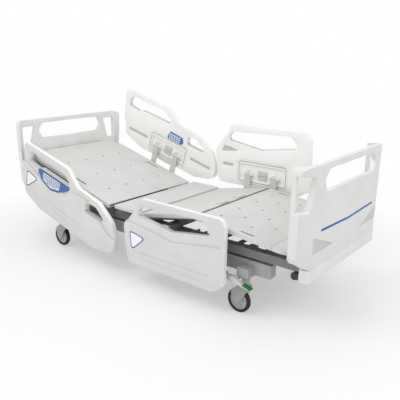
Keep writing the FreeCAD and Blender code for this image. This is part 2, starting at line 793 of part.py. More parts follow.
def round_tube_ends(body, at):
    """Round the side tubes' ends about their hinge pin, so that they turn clear of the next panel."""
    half = d.tube / 2
    round_corners(body, (0, 1, 0), [(at, 0, half), (at, 0, -half)], half - 0.5)


def side_frame(label, side_at, long, direction, crosses, extras):
    """Two square tubes with cross tubes, bored for the hinge pins at one end. Modelled flat."""
    body = new_body(label)
    half = d.tube / 2
    rails = []
    for side in (NEAR, FAR):
        low = side_at if side > 0 else -(side_at + d.tube)
        rails.append(rectangle(low, -half, low + d.tube, half))
    start = -half if direction > 0 else half
    pad(body, "YZ_Plane", rails, long + 2 * half, offset=start, backwards=direction < 0)
    round_tube_ends(body, direction * (as_size(long) + half))
    spans = [rectangle(at - half, -half, at + half, half) for at in crosses]
    pad(body, "XZ_Plane", spans, 2 * side_at + 2, middle=True)
    panel_blocks(body, crosses)
    for extra in extras:
        extra(body)
    bore(body, "XZ_Plane", [(0, 0, d.hinge_radius + d.running)], 2 * (side_at + d.tube) + 4, middle=True)
    return body


def backrest_frame():
    """Carries the backrest panel and the head-side rails."""
    def clevises(body):
        rail_clevises(body, back_arm_x, as_size(0), d.back_tube_side + d.tube - 2, 14)

    body = side_frame("backrest_frame", d.back_tube_side, 800, -1, (-120, -450, -780), [clevises])
    body.Placement = turn_about_y(d.back_angle, d.back_hinge_x, hinge_up)
    return body


def panel_blocks(body, crosses):
    """Blocks on the cross tubes that carry the panel from inside its rim."""
    top = d.hinge_drop - d.panel_skin
    blocks = [rectangle(at - 11, d.tube / 2 - 1, at + 11, top) for at in crosses]
    for side in (NEAR, FAR):
        pad(body, "XZ_Plane", blocks, 60, offset=-side * 170, middle=True)


def backrest_carriage():
    """Slides back along the frame as the backrest rises, so that the seat doesn't shrink."""
    body = new_body("backrest_carriage")
    ride = frame_top + d.play
    for side in (NEAR, FAR):
        low = d.frame_side - 8 if side > 0 else -(frame_outer + 8)
        high = frame_outer + 8 if side > 0 else -(d.frame_side - 8)
        saddle = [(low, d.frame_low + 12), (low + 7, d.frame_low + 12), (low + 7, ride), (high - 7, ride),
                  (high - 7, d.frame_low + 12), (high, d.frame_low + 12), (high, ride + 8), (low, ride + 8)]
        pad(body, "YZ_Plane", [saddle], 95, offset=d.back_hinge_x - 85)
        ear = [(d.back_hinge_x - 24, ride + 6), (d.back_hinge_x + 18, ride + 6), (d.back_hinge_x + 10, hinge_up + 8),
               (d.back_hinge_x, hinge_up + 13), (d.back_hinge_x - 11, hinge_up + 8)]
        pad(body, "XZ_Plane", [ear], 20, offset=-side * (frame_outer - 12), middle=True)
        round_pad(body, "XZ_Plane", [(d.back_hinge_x, hinge_up, d.hinge_radius)],
                  d.back_tube_side + d.tube - frame_outer + 14, offset=-side * (frame_outer - 12),
                  backwards=side > 0)
    bar = rectangle(d.back_hinge_x - 45, d.frame_low + 21, d.back_hinge_x - 21, d.frame_low + 45)
    pad(body, "XZ_Plane", [bar], 2 * (d.frame_side - 6), middle=True)
    return body


def thigh_frame():
    """Carries the thigh panel; the lever under its hinge tube is pushed by the thigh motor."""
    def lever(body):
        slotted_lever(body, 46, thigh_swing, float(thigh_lever), thigh_swing, thigh_motor_side)

    body = side_frame("thigh_frame", d.leg_tube_side, d.thigh_long, 1, (46, 190, 330), [lever])
    bore(body, "XZ_Plane", [(d.thigh_long, 0, d.hinge_radius + d.running)], 2 * d.leg_tube_side + 60, middle=True)
    body.Placement = turn_about_y(-float(d.thigh_angle), d.thigh_hinge_x, hinge_up)
    return body


def thigh_panel():
    """Thigh deck panel."""
    body = deck_panel("thigh_panel", -d.thigh_overhang, d.thigh_long - d.knee_gap, 0, 0, [], [])
    body.Placement = turn_about_y(-float(d.thigh_angle), d.thigh_hinge_x, hinge_up)
    return body


knee_x = float(d.thigh_hinge_x) + float(d.thigh_long) * math.cos(math.radians(float(d.thigh_angle)))
knee_up = float(hinge_up) + float(d.thigh_long) * math.sin(math.radians(float(d.thigh_angle)))
leg_split = d.leg_long - 130


LEG_CROSSES = (90, 330, 575)


def leg_frame():
    """Carries the leg panel, hinged at the knee."""
    body = new_body("leg_frame")
    half = d.tube / 2
    side_at = d.leg_tube_side - d.tube - d.play
    rails = []
    for side in (NEAR, FAR):
        low = side_at if side > 0 else -(side_at + d.tube)
        rails.append(rectangle(low, -half, low + d.tube, half))
    pad(body, "YZ_Plane", rails, d.leg_long - 60, offset=-half)
    round_tube_ends(body, -half)
    spans = [rectangle(at - half, -half, at + half, half) for at in LEG_CROSSES]
    pad(body, "XZ_Plane", spans, 2 * side_at + 2, middle=True)
    for side in (NEAR, FAR):
        round_pad(body, "XZ_Plane", [(0, 0, d.hinge_radius)], d.tube * 2, offset=-side * (side_at + 4),
                  backwards=side > 0)
    panel_blocks(body, LEG_CROSSES)
    body.Placement = turn_about_y(d.leg_angle, knee_x, knee_up)
    return body


def leg_panel():
    """Leg deck panel with vent holes and strap slots."""
    rows = [100 + 107 * step for step in range(4)]
    body = deck_panel("leg_panel", d.knee_gap, leg_split, 0, 0, [(140, 380, 90), (350, 380, 90)],
                      vent_holes(rows, (4, 190)))
    body.Placement = turn_about_y(d.leg_angle, knee_x, knee_up)
    return body


def leg_end_panel():
    """Separate end of the leg section with round foot corners."""
    body = deck_panel("leg_end_panel", leg_split + 1, d.leg_long, d.leg_long, 100, [], [])
    body.Placement = turn_about_y(d.leg_angle, knee_x, knee_up)
    return body


def knee_covers():
    """Two rounded covers over the knee hinge, on the thigh panel's edge."""
    shapes = []
    edge = float(d.thigh_long + d.knee_gap - d.seat)
    for across in (-95, 95):
        cover = Part.makeBox(38, 80, 14, Vector(edge - 38, across - 40, float(d.hinge_drop)))
        top = [e for e in cover.Edges if e.CenterOfMass.z > float(d.hinge_drop) + 10]
        cover = cover.makeChamfer(5, top)
        shapes.append(cover)
    item = group("knee_covers", shapes)
    item.Placement = turn_about_y(-float(d.thigh_angle), d.thigh_hinge_x, hinge_up)
    return item


# Deck motors
thigh_motor_side = as_size(95)
back_motor_side = as_size(-95)
thigh_lever = as_size(92)
thigh_swing = 16.5
thigh_pin_x = float(d.thigh_hinge_x) + float(thigh_lever) * math.tan(math.radians(float(d.thigh_angle) - thigh_swing))
thigh_motor_up = float(hinge_up) - float(thigh_lever)
back_motor_up = float(d.frame_low) + 25
DECK_MOTOR_CLEVISES = ((-184, float(thigh_motor_side), thigh_motor_up, frame_top + 30),
                       (116, float(back_motor_side), back_motor_up, d.frame_low + 38))


def thigh_motor():
    """Motor that raises the thigh section."""
    clevis = DECK_MOTOR_CLEVISES[0]
    return group("thigh_motor", [motor(clevis[0], 1, clevis[1], clevis[2], 110, 66, motor_pin_radius)])


def thigh_rod():
    """Rod of the thigh motor."""
    tip = thigh_pin_x
    return group("thigh_rod", [rod(tip, tip - 90, thigh_motor_side, thigh_motor_up, rod_pin_radius,
                                   rod_radius + 14)])


def backrest_motor():
    """Motor that pushes the backrest carriage."""
    clevis = DECK_MOTOR_CLEVISES[1]
    return group("backrest_motor", [motor(clevis[0], -1, clevis[1], clevis[2], 130, 190, motor_pin_radius)])


def backrest_rod():
    """Rod of the backrest motor, fixed to the carriage's bar."""
    tip = float(d.back_hinge_x) - 21
    shaft = Part.makeCylinder(float(rod_radius), 255, Vector(tip, float(back_motor_side), back_motor_up),
                              Vector(1, 0, 0))
    return group("backrest_rod", [shaft])


# Boards at the two ends
peg_side = as_size(300)
peg_radius = as_size(13)


def peg_x(end):
    """Distance of a board's pegs from the middle of the bed."""
    return d.end_face - 82


def trim_front(body, blank, front):
    """Cut all that lies outside the board's front outline."""
    sketch = new_sketch(body, "YZ_Plane")
    draw_loop(sketch, blank)
    draw_loop(sketch, front, 38)
    add_feature(body, "Pocket", sketch, 2 * (d.end_face + 50), middle=True)


def board(label, end, half, top, wrap, wrap_side, front, openings, corner_slot, slot_from):
    """End board: a bowed wall cut to its front outline, with hand openings and two pegs below."""
    body = new_body(label)
    face = end * d.end_face
    inner = end * (d.end_face - d.board_thick)
    back = end * (d.end_face - wrap)
    outer_half = [(face, 0), (face, half - wrap_side), (end * (d.end_face - wrap * 0.22), half - wrap_side * 0.3),
                  (end * (d.end_face - wrap * 0.6), half), (back, half)]
    inner_half = [(back, half - 24), (end * (d.end_face - wrap * 0.65), half - 24),
                  (end * (d.end_face - wrap * 0.22 - d.board_thick * 0.8), half - wrap_side * 0.3 - 20),
                  (inner, half - wrap_side - 14), (inner, 0)]
    side_points = outer_half + inner_half
    plan = [(x, y) for x, y in side_points if float(as_size(y)) > 0]
    other = [(x, -as_size(y)) for x, y in plan]
    loop = plan + list(reversed(other))
    pad(body, "XY_Plane", [loop], top - d.board_low, offset=d.board_low, radius=60)
    edge = [rectangle(-half - 40, d.board_low - 40, half + 40, top + 40), mirrored(front)]
    trim_front(body, edge[0], edge[1])
    pocket(body, "YZ_Plane", [mirrored(opening) for opening in openings], 2 * (d.end_face + 50), middle=True,
           radius=26)
    for side in (NEAR, FAR):
        slot = [(side * y, z) for y, z in corner_slot]
        pocket(body, "YZ_Plane", [slot], 300, offset=end * slot_from, backwards=end > 0, radius=14)
    return body


def add_pegs(body, end):
    """Foot block behind the board with two pegs that drop into the frame's sockets."""
    inner = end * (d.end_face - d.board_thick + 2)
    reach = end * (peg_x(end) - 20)
    low, high = (inner, reach) if float(inner) < float(reach) else (reach, inner)
    for side in (NEAR, FAR):
        block = rectangle(low, side * peg_side - 26, high, side * peg_side + 26)
        pad(body, "XY_Plane", [block], 28, offset=d.board_low)
        round_pad(body, "XY_Plane", [(end * peg_x(end), side * peg_side, peg_radius)],
                  d.board_low - d.frame_low + 2, offset=d.frame_low)


def headboard():
    """Head board with its hand opening and tall corner slots."""
    front = [(0, d.headboard_top), (d.side_face - 45, d.headboard_top), (d.side_face - 8, d.headboard_top - 16),
             (d.side_face, d.headboard_top - 40), (d.side_face, 780), (d.side_face - 18, 640),
             (d.side_face - 32, 470), (d.side_face - 70, d.board_low), (0, d.board_low)]
    opening = [(0, 892), (275, 888), (308, 832), (270, 776), (0, 772)]
    slot = [(335, 872), (447, 872), (447, 706), (378, 706)]
    body = board("headboard", -1, d.side_face, d.headboard_top, 55, 55, front, [opening], slot,
                 d.end_face - 90)
    add_pegs(body, -1)
    return body


def footboard():
    """Foot board with deep wings, its hand opening and corner slots."""
    top = d.footboard_top
    front = [(0, top), (d.footboard_half - 60, top), (d.footboard_half - 12, top - 14),
             (d.footboard_half, top - 50), (d.footboard_half, d.board_low + 60),
             (d.footboard_half - 40, d.board_low), (0, d.board_low)]
    opening = [(0, top - 30), (285, top - 33), (340, top - 82), (300, top - 150), (0, top - 146)]
    slot = [(408, 885), (d.footboard_half + 60, 885), (d.footboard_half + 60, 702), (440, 702)]
    body = board("footboard", 1, d.footboard_half, top, 112, 70, front, [opening], slot,
                 d.end_face - 86)
    for side in (NEAR, FAR):
        arrow = [(side * 415, 577), (side * 170, 484), (side * 410, 484)]
        pocket(body, "YZ_Plane", [arrow], 3, offset=d.end_face)
    band = [(-335, 589), (0, 577), (335, 589), (335, 603), (0, 591), (-335, 603)]
    pocket(body, "YZ_Plane", [band], stripe_thick, offset=d.end_face)
    add_pegs(body, 1)
    return body


stripe_thick = as_size(2)


def footboard_stripe():
    """Coloured band let into the face of the foot board."""
    body = new_body("footboard_stripe")
    band = [(-334.7, 589.3), (0, 577.3), (334.7, 589.3), (334.7, 602.7), (0, 590.7), (-334.7, 602.7)]
    pad(body, "YZ_Plane", [band], stripe_thick - 0.3, offset=d.end_face - stripe_thick)
    return body


def foot_bumper():
    """Bumper bar under the foot board, with ears for the two rollers."""
    body = new_body("foot_bumper")
    outer = d.end_face
    inner = d.end_face - 60
    plan = [(outer - 14, -d.bumper_half), (outer, -d.bumper_half + 22), (outer, d.bumper_half - 22),
            (outer - 14, d.bumper_half), (inner, d.bumper_half), (inner, -d.bumper_half)]
    pad(body, "XY_Plane", [plan], bumper_top - d.bumper_low, offset=d.bumper_low, radius=14)
    for side in (NEAR, FAR):
        for edge in (-1, 1):
            middle = side * roller_side + edge * (roller_wide / 2 + 4)
            ear = rectangle(roller_x - 12, roller_up - 12, inner + 2, roller_up + 20)
            pad(body, "XZ_Plane", [ear], 5, offset=-middle, middle=True)
        round_pad(body, "XZ_Plane", [(roller_x, roller_up, roller_pin)], roller_wide + 12, offset=-side * roller_side,
                  middle=True)
    return body


roller_side = as_size(415)
roller_wide = as_size(22)
roller_radius = as_size(20)
roller_pin = as_size(5)
roller_x = d.end_face - 86
roller_up = d.bumper_low + 18


def foot_roller(label, side):
    """Wall roller that turns on a pin between the bumper's ears."""
    body = new_body(label)
    sketch = new_sketch(body, "XZ_Plane", -side * roller_side)
    draw_circles(sketch, [(roller_x, roller_up, roller_radius), (roller_x, roller_up, roller_pin + d.running)])
    add_feature(body, "Pad", sketch, roller_wide, middle=True)
    return body


# Side rails. A rail is drawn in its own frame, x towards the foot end, z up from the pins of its arms
# when raised. Its arms are as long as half its travel and turn it outwards, up to down.
arm_length = d.rail_travel / 2
FOOT_RAIL = {
    "outline_radius": 45,
    "outline": [(12, -100), (648, -100), (715, -62), (715, 292), (690, 336), (75, 336), (48, 270),
                (-55, 150), (-48, 40), (-28, -70), (-12, -96)],
    "opening": [(85, 286), (560, 302), (612, 256), (616, 222), (560, 214), (335, 180), (45, 224)],
    "waist": [(-60, 180), (236, 141), (340, 119), (620, 164), (720, 172), (720, 345), (-60, 345)],
    "crease": (16, 640, -12),
    "recess": (171, 530, -46, 66),
    "slots": [(10, 108, 30, 22)],
    "arms": (247, 463),
    "latch": 355,
}
HEAD_RAIL = {
    "outline_radius": 70,
    "outline": [(-824, 330), (-342, 330), (-222, 240), (3, 227), (143, 155), (208, 60), (212, -25),
                (173, -58), (33, -97), (-567, -97), (-757, -46), (-807, 94), (-838, 304)],
    "opening": [(-737, 290), (-387, 290), (-298, 236), (-305, 212), (-360, 212), (-627, 212), (-645, 195),
                (-779, 205), (-768, 270)],
    "second": [(-110, 185), (-108, 117), (63, 117), (70, 142), (-15, 190)],
    "waist": [(-870, 190), (-760, 190), (-640, 150), (-330, 140), (-250, 196), (-120, 205), (150, 60),
              (230, 60), (230, 345), (-870, 345)],
    "crease": (-740, -124, 0),
    "recess": (-456, -108, -50, 58),
    "slots": [(-737, -512, 2, 26), (-43, 163, 12, 24)],
    "arms": (-173, -384),
    "latch": -279,
}


def side_rail(label, kind, side):
    """Moulded rail shell with its hand openings, set-back upper part and the recess for the arms."""
    body = new_body(label)
    inner = d.side_face - d.rail_thick
    outward = side > 0
    pad(body, "XZ_Plane", [kind["outline"]], d.rail_thick, offset=-side * inner, backwards=outward,
        radius=kind["outline_radius"])
    holes = [kind["opening"]]
    if "second" in kind:
        holes.append(kind["second"])
    pocket(body, "XZ_Plane", holes, d.rail_thick * 4, offset=-side * (inner - 20), backwards=not outward,
           radius=22)
    # the upper part stands back from the lower panel's outer face
    pocket(body, "XZ_Plane", [kind["waist"]], rail_set_back + 20, offset=-side * (d.side_face - rail_set_back),
           backwards=not outward, radius=60)
    low_x, high_x, low_z, high_z = kind["recess"]
    pocket(body, "XZ_Plane", [rectangle(low_x, low_z, high_x, high_z)], d.recess_deep + 5,
           offset=-side * (inner - 5), backwards=not outward, radius=12)
    low_x, high_x, up = kind["crease"]
    pocket(body, "XZ_Plane", [rectangle(low_x, up - 1.5, high_x, up + 1.5)], 22,
           offset=-side * (d.side_face - 2), backwards=not outward)
    for low_x, high_x, low_z, tall in kind["slots"]:
        pocket(body, "XZ_Plane", [rectangle(low_x, low_z, high_x, low_z + tall)], 11,
               offset=-side * (inner - 5), backwards=not outward, radius=8)
    # lugs that hold the pins of the two arms
    for at in kind["arms"]:
        for edge in (-1, 1):
            middle = at + edge * (d.rail_arm_wide / 2 + 5)
            tip = d.rail_pivot_side
            lug = [(side * (inner + d.recess_deep + 2), -16), (side * (tip + 4), -11), (side * (tip - 8), -6),
                   (side * (tip - 8), 6), (side * (tip + 4), 11), (side * (inner + d.recess_deep + 2), 16)]
            pad(body, "YZ_Plane", [lug], 8, offset=middle, middle=True)
        round_pad(body, "YZ_Plane", [(side * d.rail_pivot_side, 0, d.rail_pin_radius)], d.rail_arm_wide + 12,
                  offset=at, middle=True)
    return body


rail_set_back = as_size(12)


def rail_arms(label, kind, side):
    """The two swing arms of a rail with the rod that joins them. Drawn in the raised position."""
    body = new_body(label)
    half = d.rail_arm_wide / 2
    middle_y = d.rail_pivot_side
    thick = d.rail_arm_thick / 2
    for at in kind["arms"]:
        bar = rectangle(side * middle_y - thick, -arm_length, side * middle_y + thick, 0)
        pad(body, "YZ_Plane", [bar], d.rail_arm_wide, offset=at, middle=True)
        for up in (0, -arm_length):
            round_pad(body, "YZ_Plane", [(side * middle_y, up, d.rail_knuckle)], d.rail_arm_wide, offset=at,
                      middle=True)
    low_x = min(kind["arms"])
    high_x = max(kind["arms"])
    tie = rectangle(side * middle_y - 5, -arm_length * 0.5 - 9, side * middle_y + 5, -arm_length * 0.5 + 9)
    pad(body, "YZ_Plane", [tie], high_x - low_x, offset=as_size((low_x + high_x) / 2), middle=True)
    bore(body, "YZ_Plane", [(side * middle_y, 0, d.rail_pin_radius + d.running),
                            (side * middle_y, -arm_length, d.rail_pin_radius + d.running)],
         3000, middle=True)
    return body


def rail_latch(label, kind, side):
    """Release handle in the middle of the recess; it is pulled down to let the rail go."""
    body = new_body(label)
    floor = d.side_face - d.rail_thick + d.recess_deep
    at = kind["latch"]
    face = floor - 9
    low, high = (side * face, side * (floor - 0.4))
    if float(low) > float(high):
        low, high = high, low
    pad(body, "YZ_Plane", [rectangle(low, -36, high, 28)], 74, offset=at, middle=True)
    grip = rectangle(at - 30, -22, at + 30, -6)
    pocket(body, "XZ_Plane", [grip], 14, offset=-side * (face - 9), backwards=side < 0)
    return body


def keypad_outer(label, side):
    """Control panel on the outer face of a head-side rail."""
    body = new_body(label)
    face = d.side_face - rail_set_back
    outline = [(-343, 205), (-622, 205), (-640, 180), (-600, 166), (-420, 148), (-345, 156), (-300, 190)]
    pad(body, "XZ_Plane", [outline], 6, offset=-side * (face + 0.3), backwards=side > 0, radius=16)
    return body


def keypad_inner(label, side):
    """Smaller keypad on the inner face of a head-side rail."""
    body = new_body(label)
    face = d.side_face - d.rail_thick
    outline = [(-300, 92), (-155, 92), (-138, 110), (-148, 150), (-285, 160), (-305, 110)]
    pad(body, "XZ_Plane", [outline], 3, offset=-side * (face - 0.3), backwards=side < 0, radius=14)
    return body


def place_rails():
    """The four rails with their arms, latches and keypads."""
    ends = {NEAR: "near", FAR: "far"}
    back = Rotation(Vector(0, 1, 0), float(d.back_angle))
    hinge = Vector(float(d.back_hinge_x), 0, float(hinge_up))
    for side in (NEAR, FAR):
        shift = float(arm_length) * side
        foot_place = Placement(Vector(0, 0, float(hinge_up) + shift), Rotation())
        head_place = Placement(hinge + back.multVec(Vector(0, 0, shift)), back)
        flip = Rotation(Vector(1, 0, 0), 180) if side < 0 else Rotation()
        for kind, name, place in ((FOOT_RAIL, "foot_rail", foot_place), (HEAD_RAIL, "head_rail", head_place)):
            shell = side_rail("%s_%s" % (name, ends[side]), kind, side)
            shell.Placement = place
            latch = rail_latch("%s_latch_%s" % (name, ends[side]), kind, side)
            latch.Placement = place
            arms = rail_arms("%s_arms_%s" % (name, ends[side]), kind, side if side > 0 else FAR)
            arms.Placement = place.multiply(Placement(Vector(0, 0, 0), flip))
        outer = keypad_outer("control_panel_" + ends[side], side)
        outer.Placement = head_place
        inner = keypad_inner("keypad_" + ends[side], side)
        inner.Placement = head_place


# Castors and brake
def castor_fork(label, along, side):
    """Fork with its hood over the wheel, its stem and its axle."""
    body = new_body(label)
    axle_x = along - d.trail
    across = -side * d.castor_side
    top = d.fork_top
    profile = [(along + 27, top), (along - 30, top), (along - 86, top - 46), (axle_x - 34, d.tyre_radius - 12),
               (axle_x - 12, d.tyre_radius - 19), (axle_x + 12, d.tyre_radius - 19), (along - 4, top - 74),
               (along + 27, top - 22)]
    pad(body, "XZ_Plane", [profile], d.fork_wide, offset=across, middle=True, radius=22)
    bore(body, "XZ_Plane", [(axle_x, d.tyre_radius, d.tyre_radius + d.wheel_gap)], d.tyre_wide + 5,
         offset=across, middle=True)
    round_pad(body, "XY_Plane", [(along, side * d.castor_side, d.stem_radius)], stem_long, offset=top - 1)
    round_pad(body, "XZ_Plane", [(axle_x, d.tyre_radius, d.axle_radius)], d.fork_wide - 4, offset=across,
              middle=True)
    return body


def revolved(body, points, axle_x, side):
    """Turn a half section about the wheel's axle. Points are (radius, across)."""
    sketch = new_sketch(body, "YZ_Plane", axle_x)
    middle = side * d.castor_side
    draw_loop(sketch, [(middle + across, d.tyre_radius + radius) for radius, across in points])
    axis = Part.LineSegment(Vector(float(middle) - 60, float(d.tyre_radius), 0),
                            Vector(float(middle) + 60, float(d.tyre_radius), 0))
    line = sketch.addGeometry(axis, True)
    tie(sketch, point_at(line, 1, middle - 60, d.tyre_radius) + point_at(line, 2, middle + 60, d.tyre_radius))
    feature = body.newObject("PartDesign::Revolution", "revolution")
    feature.Profile = sketch
    feature.ReferenceAxis = (sketch, ["Axis0"])
    feature.Angle = 360
    body.Tip = feature
    return feature


def castor_wheel(label, along, side):
    """Moulded wheel: a disc with a raised hub."""
    body = new_body(label)
    half = d.rim_wide / 2
    bore_radius = d.axle_radius + d.running
    section = [(bore_radius, -half), (20, -half), (26, -half + 4), (d.rim_radius, -half + 4),
               (d.rim_radius, half - 4), (26, half - 4), (20, half), (bore_radius, half)]
    revolved(body, section, along - d.trail, side)
    return body


def castor_tyre(label, along, side):
    """Tyre on the rim, with bevelled shoulders."""
    body = new_body(label)
    half = d.tyre_wide / 2
    section = [(d.rim_radius, -half), (d.tyre_radius - 5, -half), (d.tyre_radius, -half * 0.5),
               (d.tyre_radius, half * 0.5), (d.tyre_radius - 5, half), (d.rim_radius, half)]
    revolved(body, section, along - d.trail, side)
    return body


def brake_shaft():
    """Shaft through both foot castors' hangers with a foot pedal at each end."""
    body = new_body("brake_shaft")
    pivot = (d.brake_pivot_x, d.brake_pivot_up)
    end = d.pedal_side + d.pedal_wide
    round_pad(body, "XZ_Plane", [(pivot[0], pivot[1], d.brake_shaft_radius)], 2 * end, middle=True)
    lean = math.tan(math.radians(float(d.pedal_tilt)))
    reach = d.pedal_reach - 8
    drop = reach * lean
    rest = d.pedal_reach - d.pad_long - 2
    fall = rest * lean
    plate = [(pivot[0] - reach, pivot[1] + drop - 5), (pivot[0] - 14, pivot[1] - 15),
             (pivot[0] + 14, pivot[1] - 15), (pivot[0] + reach, pivot[1] - drop - 5),
             (pivot[0] + reach, pivot[1] - drop + 4), (pivot[0] + rest, pivot[1] - fall + 4),
             (pivot[0] + 12, pivot[1] + 13), (pivot[0] - 12, pivot[1] + 24),
             (pivot[0] - rest, pivot[1] + fall + 4), (pivot[0] - reach, pivot[1] + drop + 4)]
    for side in (NEAR, FAR):
        pad(body, "XZ_Plane", [plate], d.pedal_wide, offset=-side * d.pedal_side, backwards=side > 0)
    return body


def pedal_pads(label, direction):
    """Coloured pads on one end of the two pedals: red locks the wheels, green steers."""
    body = new_body(label)
    lean = math.tan(math.radians(float(d.pedal_tilt)))
    far = d.pedal_reach
    near = d.pedal_reach - d.pad_long
    base_x, base_up = d.brake_pivot_x, d.brake_pivot_up + 4
    loops = []
    for reach in (near, far):
        loops.append((base_x + direction * reach, base_up - direction * reach * lean))
    lower = list(loops)
    upper = [(across, up + d.pad_thick) for across, up in reversed(loops)]
    for side in (NEAR, FAR):
        pad(body, "XZ_Plane", [lower + upper], d.pedal_wide + 8, offset=-side * (d.pedal_side - 2),
            backwards=side > 0)
    return body


def control_box():
    """Electronics box hung between the cross members of the platform frame."""
    shape = Part.makeBox(170, 210, 62, Vector(60 - float(d.frame_half_length), -105, float(d.frame_low) - 24))
    shape = shape.makeChamfer(8, long_edges(shape, 210))
    return group("control_box", [shape])


def backrest_buffers():
    """Four round rubber buffers on the head edge of the backrest frame."""
    shapes = []
    for across in (-263, -119, 119, 263):
        place = Vector(float(back_panel_head), across, 28.5)
        shapes.append(Part.makeCylinder(12, 9, place, Vector(-1, 0, 0)))
    item = group("backrest_buffers", shapes)
    item.Placement = turn_about_y(d.back_angle, d.back_hinge_x, hinge_up)
    return item


def build():
    """Make every sub-part."""
    chassis_frame()
    chassis_caps()
    lift_motors()
    lift_rods()
    lift_arm("head_lift_arm", d.arm_head_x, d.running)
    lift_arm("foot_lift_arm", d.arm_foot_x, 2 * d.play)
    platform_frame()
    seat_panel()
    foot_bumper()
    foot_roller("foot_roller_near", NEAR)
    foot_roller("foot_roller_far", FAR)
    control_box()
    thigh_motor()
    thigh_rod()
    backrest_motor()
    backrest_rod()
    backrest_carriage()
    backrest_frame()
    backrest_panel()
    backrest_buffers()
    thigh_frame()
    thigh_panel()
    knee_covers()
    leg_frame()
    leg_panel()
    leg_end_panel()
    headboard()
    footboard()
    footboard_stripe()
    place_rails()
    brake_shaft()
    pedal_pads("brake_pads_red", -1)
    pedal_pads("steer_pads_green", 1)
    for end, along in (("foot", d.castor_foot), ("head", -d.castor_head)):
        for side, name in ((NEAR, "near"), (FAR, "far")):
            castor_fork("castor_fork_%s_%s" % (end, name), along, side)
            castor_wheel("castor_wheel_%s_%s" % (end, name), along, side)
            castor_tyre("castor_tyre_%s_%s" % (end, name), along, side)


def check_and_write():
    """Stop on any failed object or bad shape, then write one STEP file for each sub-part."""
    doc.recompute()
    for item in doc.Objects:
        if "Invalid" in item.State or "Error" in item.State:
            raise RuntimeError("%s (%s) failed: %s" % (item.Name, item.Label, item.State))
    for item in PARTS:
        if item.Shape.isNull() or not item.Shape.isValid():
            raise RuntimeError("bad shape: " + item.Label)
    os.makedirs("parts", exist_ok=True)
    for item in PARTS:
        item.Shape.exportStep("parts/%s.step" % item.Label)
    print(len(PARTS), "sub-parts written")


build()
check_and_write()
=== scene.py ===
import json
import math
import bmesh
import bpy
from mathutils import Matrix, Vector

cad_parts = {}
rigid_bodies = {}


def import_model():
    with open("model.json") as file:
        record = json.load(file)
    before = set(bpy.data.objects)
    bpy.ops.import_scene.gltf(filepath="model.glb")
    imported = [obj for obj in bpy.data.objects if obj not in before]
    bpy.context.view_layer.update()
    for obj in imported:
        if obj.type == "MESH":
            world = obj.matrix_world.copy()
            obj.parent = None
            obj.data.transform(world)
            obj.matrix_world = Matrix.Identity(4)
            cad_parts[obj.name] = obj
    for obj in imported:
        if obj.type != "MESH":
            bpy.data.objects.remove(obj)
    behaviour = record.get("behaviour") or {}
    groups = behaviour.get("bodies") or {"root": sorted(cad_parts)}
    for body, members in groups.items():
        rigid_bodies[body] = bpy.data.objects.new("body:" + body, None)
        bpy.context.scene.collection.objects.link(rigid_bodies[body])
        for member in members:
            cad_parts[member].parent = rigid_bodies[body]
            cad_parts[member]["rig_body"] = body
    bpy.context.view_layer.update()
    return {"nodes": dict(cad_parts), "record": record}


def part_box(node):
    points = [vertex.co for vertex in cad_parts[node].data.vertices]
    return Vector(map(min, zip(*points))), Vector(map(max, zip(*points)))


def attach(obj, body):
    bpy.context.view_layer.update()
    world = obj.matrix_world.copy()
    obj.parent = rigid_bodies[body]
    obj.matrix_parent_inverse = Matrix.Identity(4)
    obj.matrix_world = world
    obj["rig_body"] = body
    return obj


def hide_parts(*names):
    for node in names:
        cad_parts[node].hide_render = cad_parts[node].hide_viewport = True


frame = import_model()

# %% [markdown]
# # An electric hospital bed
# The imported CAD model is the skeleton: every node already has its true size and place, and rides on
# the body that moves it. This lesson dresses that skeleton. Flat CAD faces meet at razor edges, and
# nothing moulded or welded does, so most pieces are shown by a copy of their own CAD mesh whose
# edges are rounded. What is too fine for the CAD, such as keys, beads, bolts and cooling ribs, is
# modelled here, and every piece gets a material named for what the real one is made of. Some marks are
# painted shade: darker greys on sills, ledges, recess floors and a groove line, and black marks in vents,
# slots and gaps.

MM = 0.001
SIDES = {"near": -1, "far": 1}
nodes = frame["nodes"]
slot_of = {part["node"]: part["material_slot"] for part in frame["record"]["subparts"]}

# %% [markdown]
# ## Colours and nodes
# A colour picked from a picture is an sRGB hex value, while the shader works in linear light, so one
# function converts it. Materials are graphs of small nodes. One helper adds a node, sets what it is
# told and links what it is given, which keeps each recipe readable as a list of ingredients.

# %% Two small helpers


def colour_of(code):
    """Linear colour of an sRGB hex value."""
    channels = [int(code[start:start + 2], 16) / 255 for start in (1, 3, 5)]
    linear = [c / 12.92 if c <= 0.04045 else ((c + 0.055) / 1.055) ** 2.4 for c in channels]
    return (*linear, 1.0)


def add(tree, kind, inputs=None, **settings):
    """Add a node with its settings; inputs are values or other nodes' outputs."""
    item = tree.nodes.new(kind)
    for name, value in settings.items():
        setattr(item, name, value)
    for name, value in (inputs or {}).items():
        if isinstance(value, bpy.types.NodeSocket):
            tree.links.new(value, item.inputs[name])
        else:
            item.inputs[name].default_value = value
    return item


# %% [markdown]
# ## Finishes
# Almost everything here is either moulded plastic or powder-coated steel. Both are one colour that
# wanders a little over hand-wide areas, with a fine grain that catches the light. So one recipe
# serves both: a cloudy noise between two close colours, a second noise that shifts the roughness,
# and a bump whose cell size is a real length in millimetres.

# %% The shared recipe
CLOUD_MM = 140
CLOUD_LOW, CLOUD_HIGH = 0.30, 0.70
COAT_ROUGHNESS = 0.15
BUMP_DEPTH = 0.0004


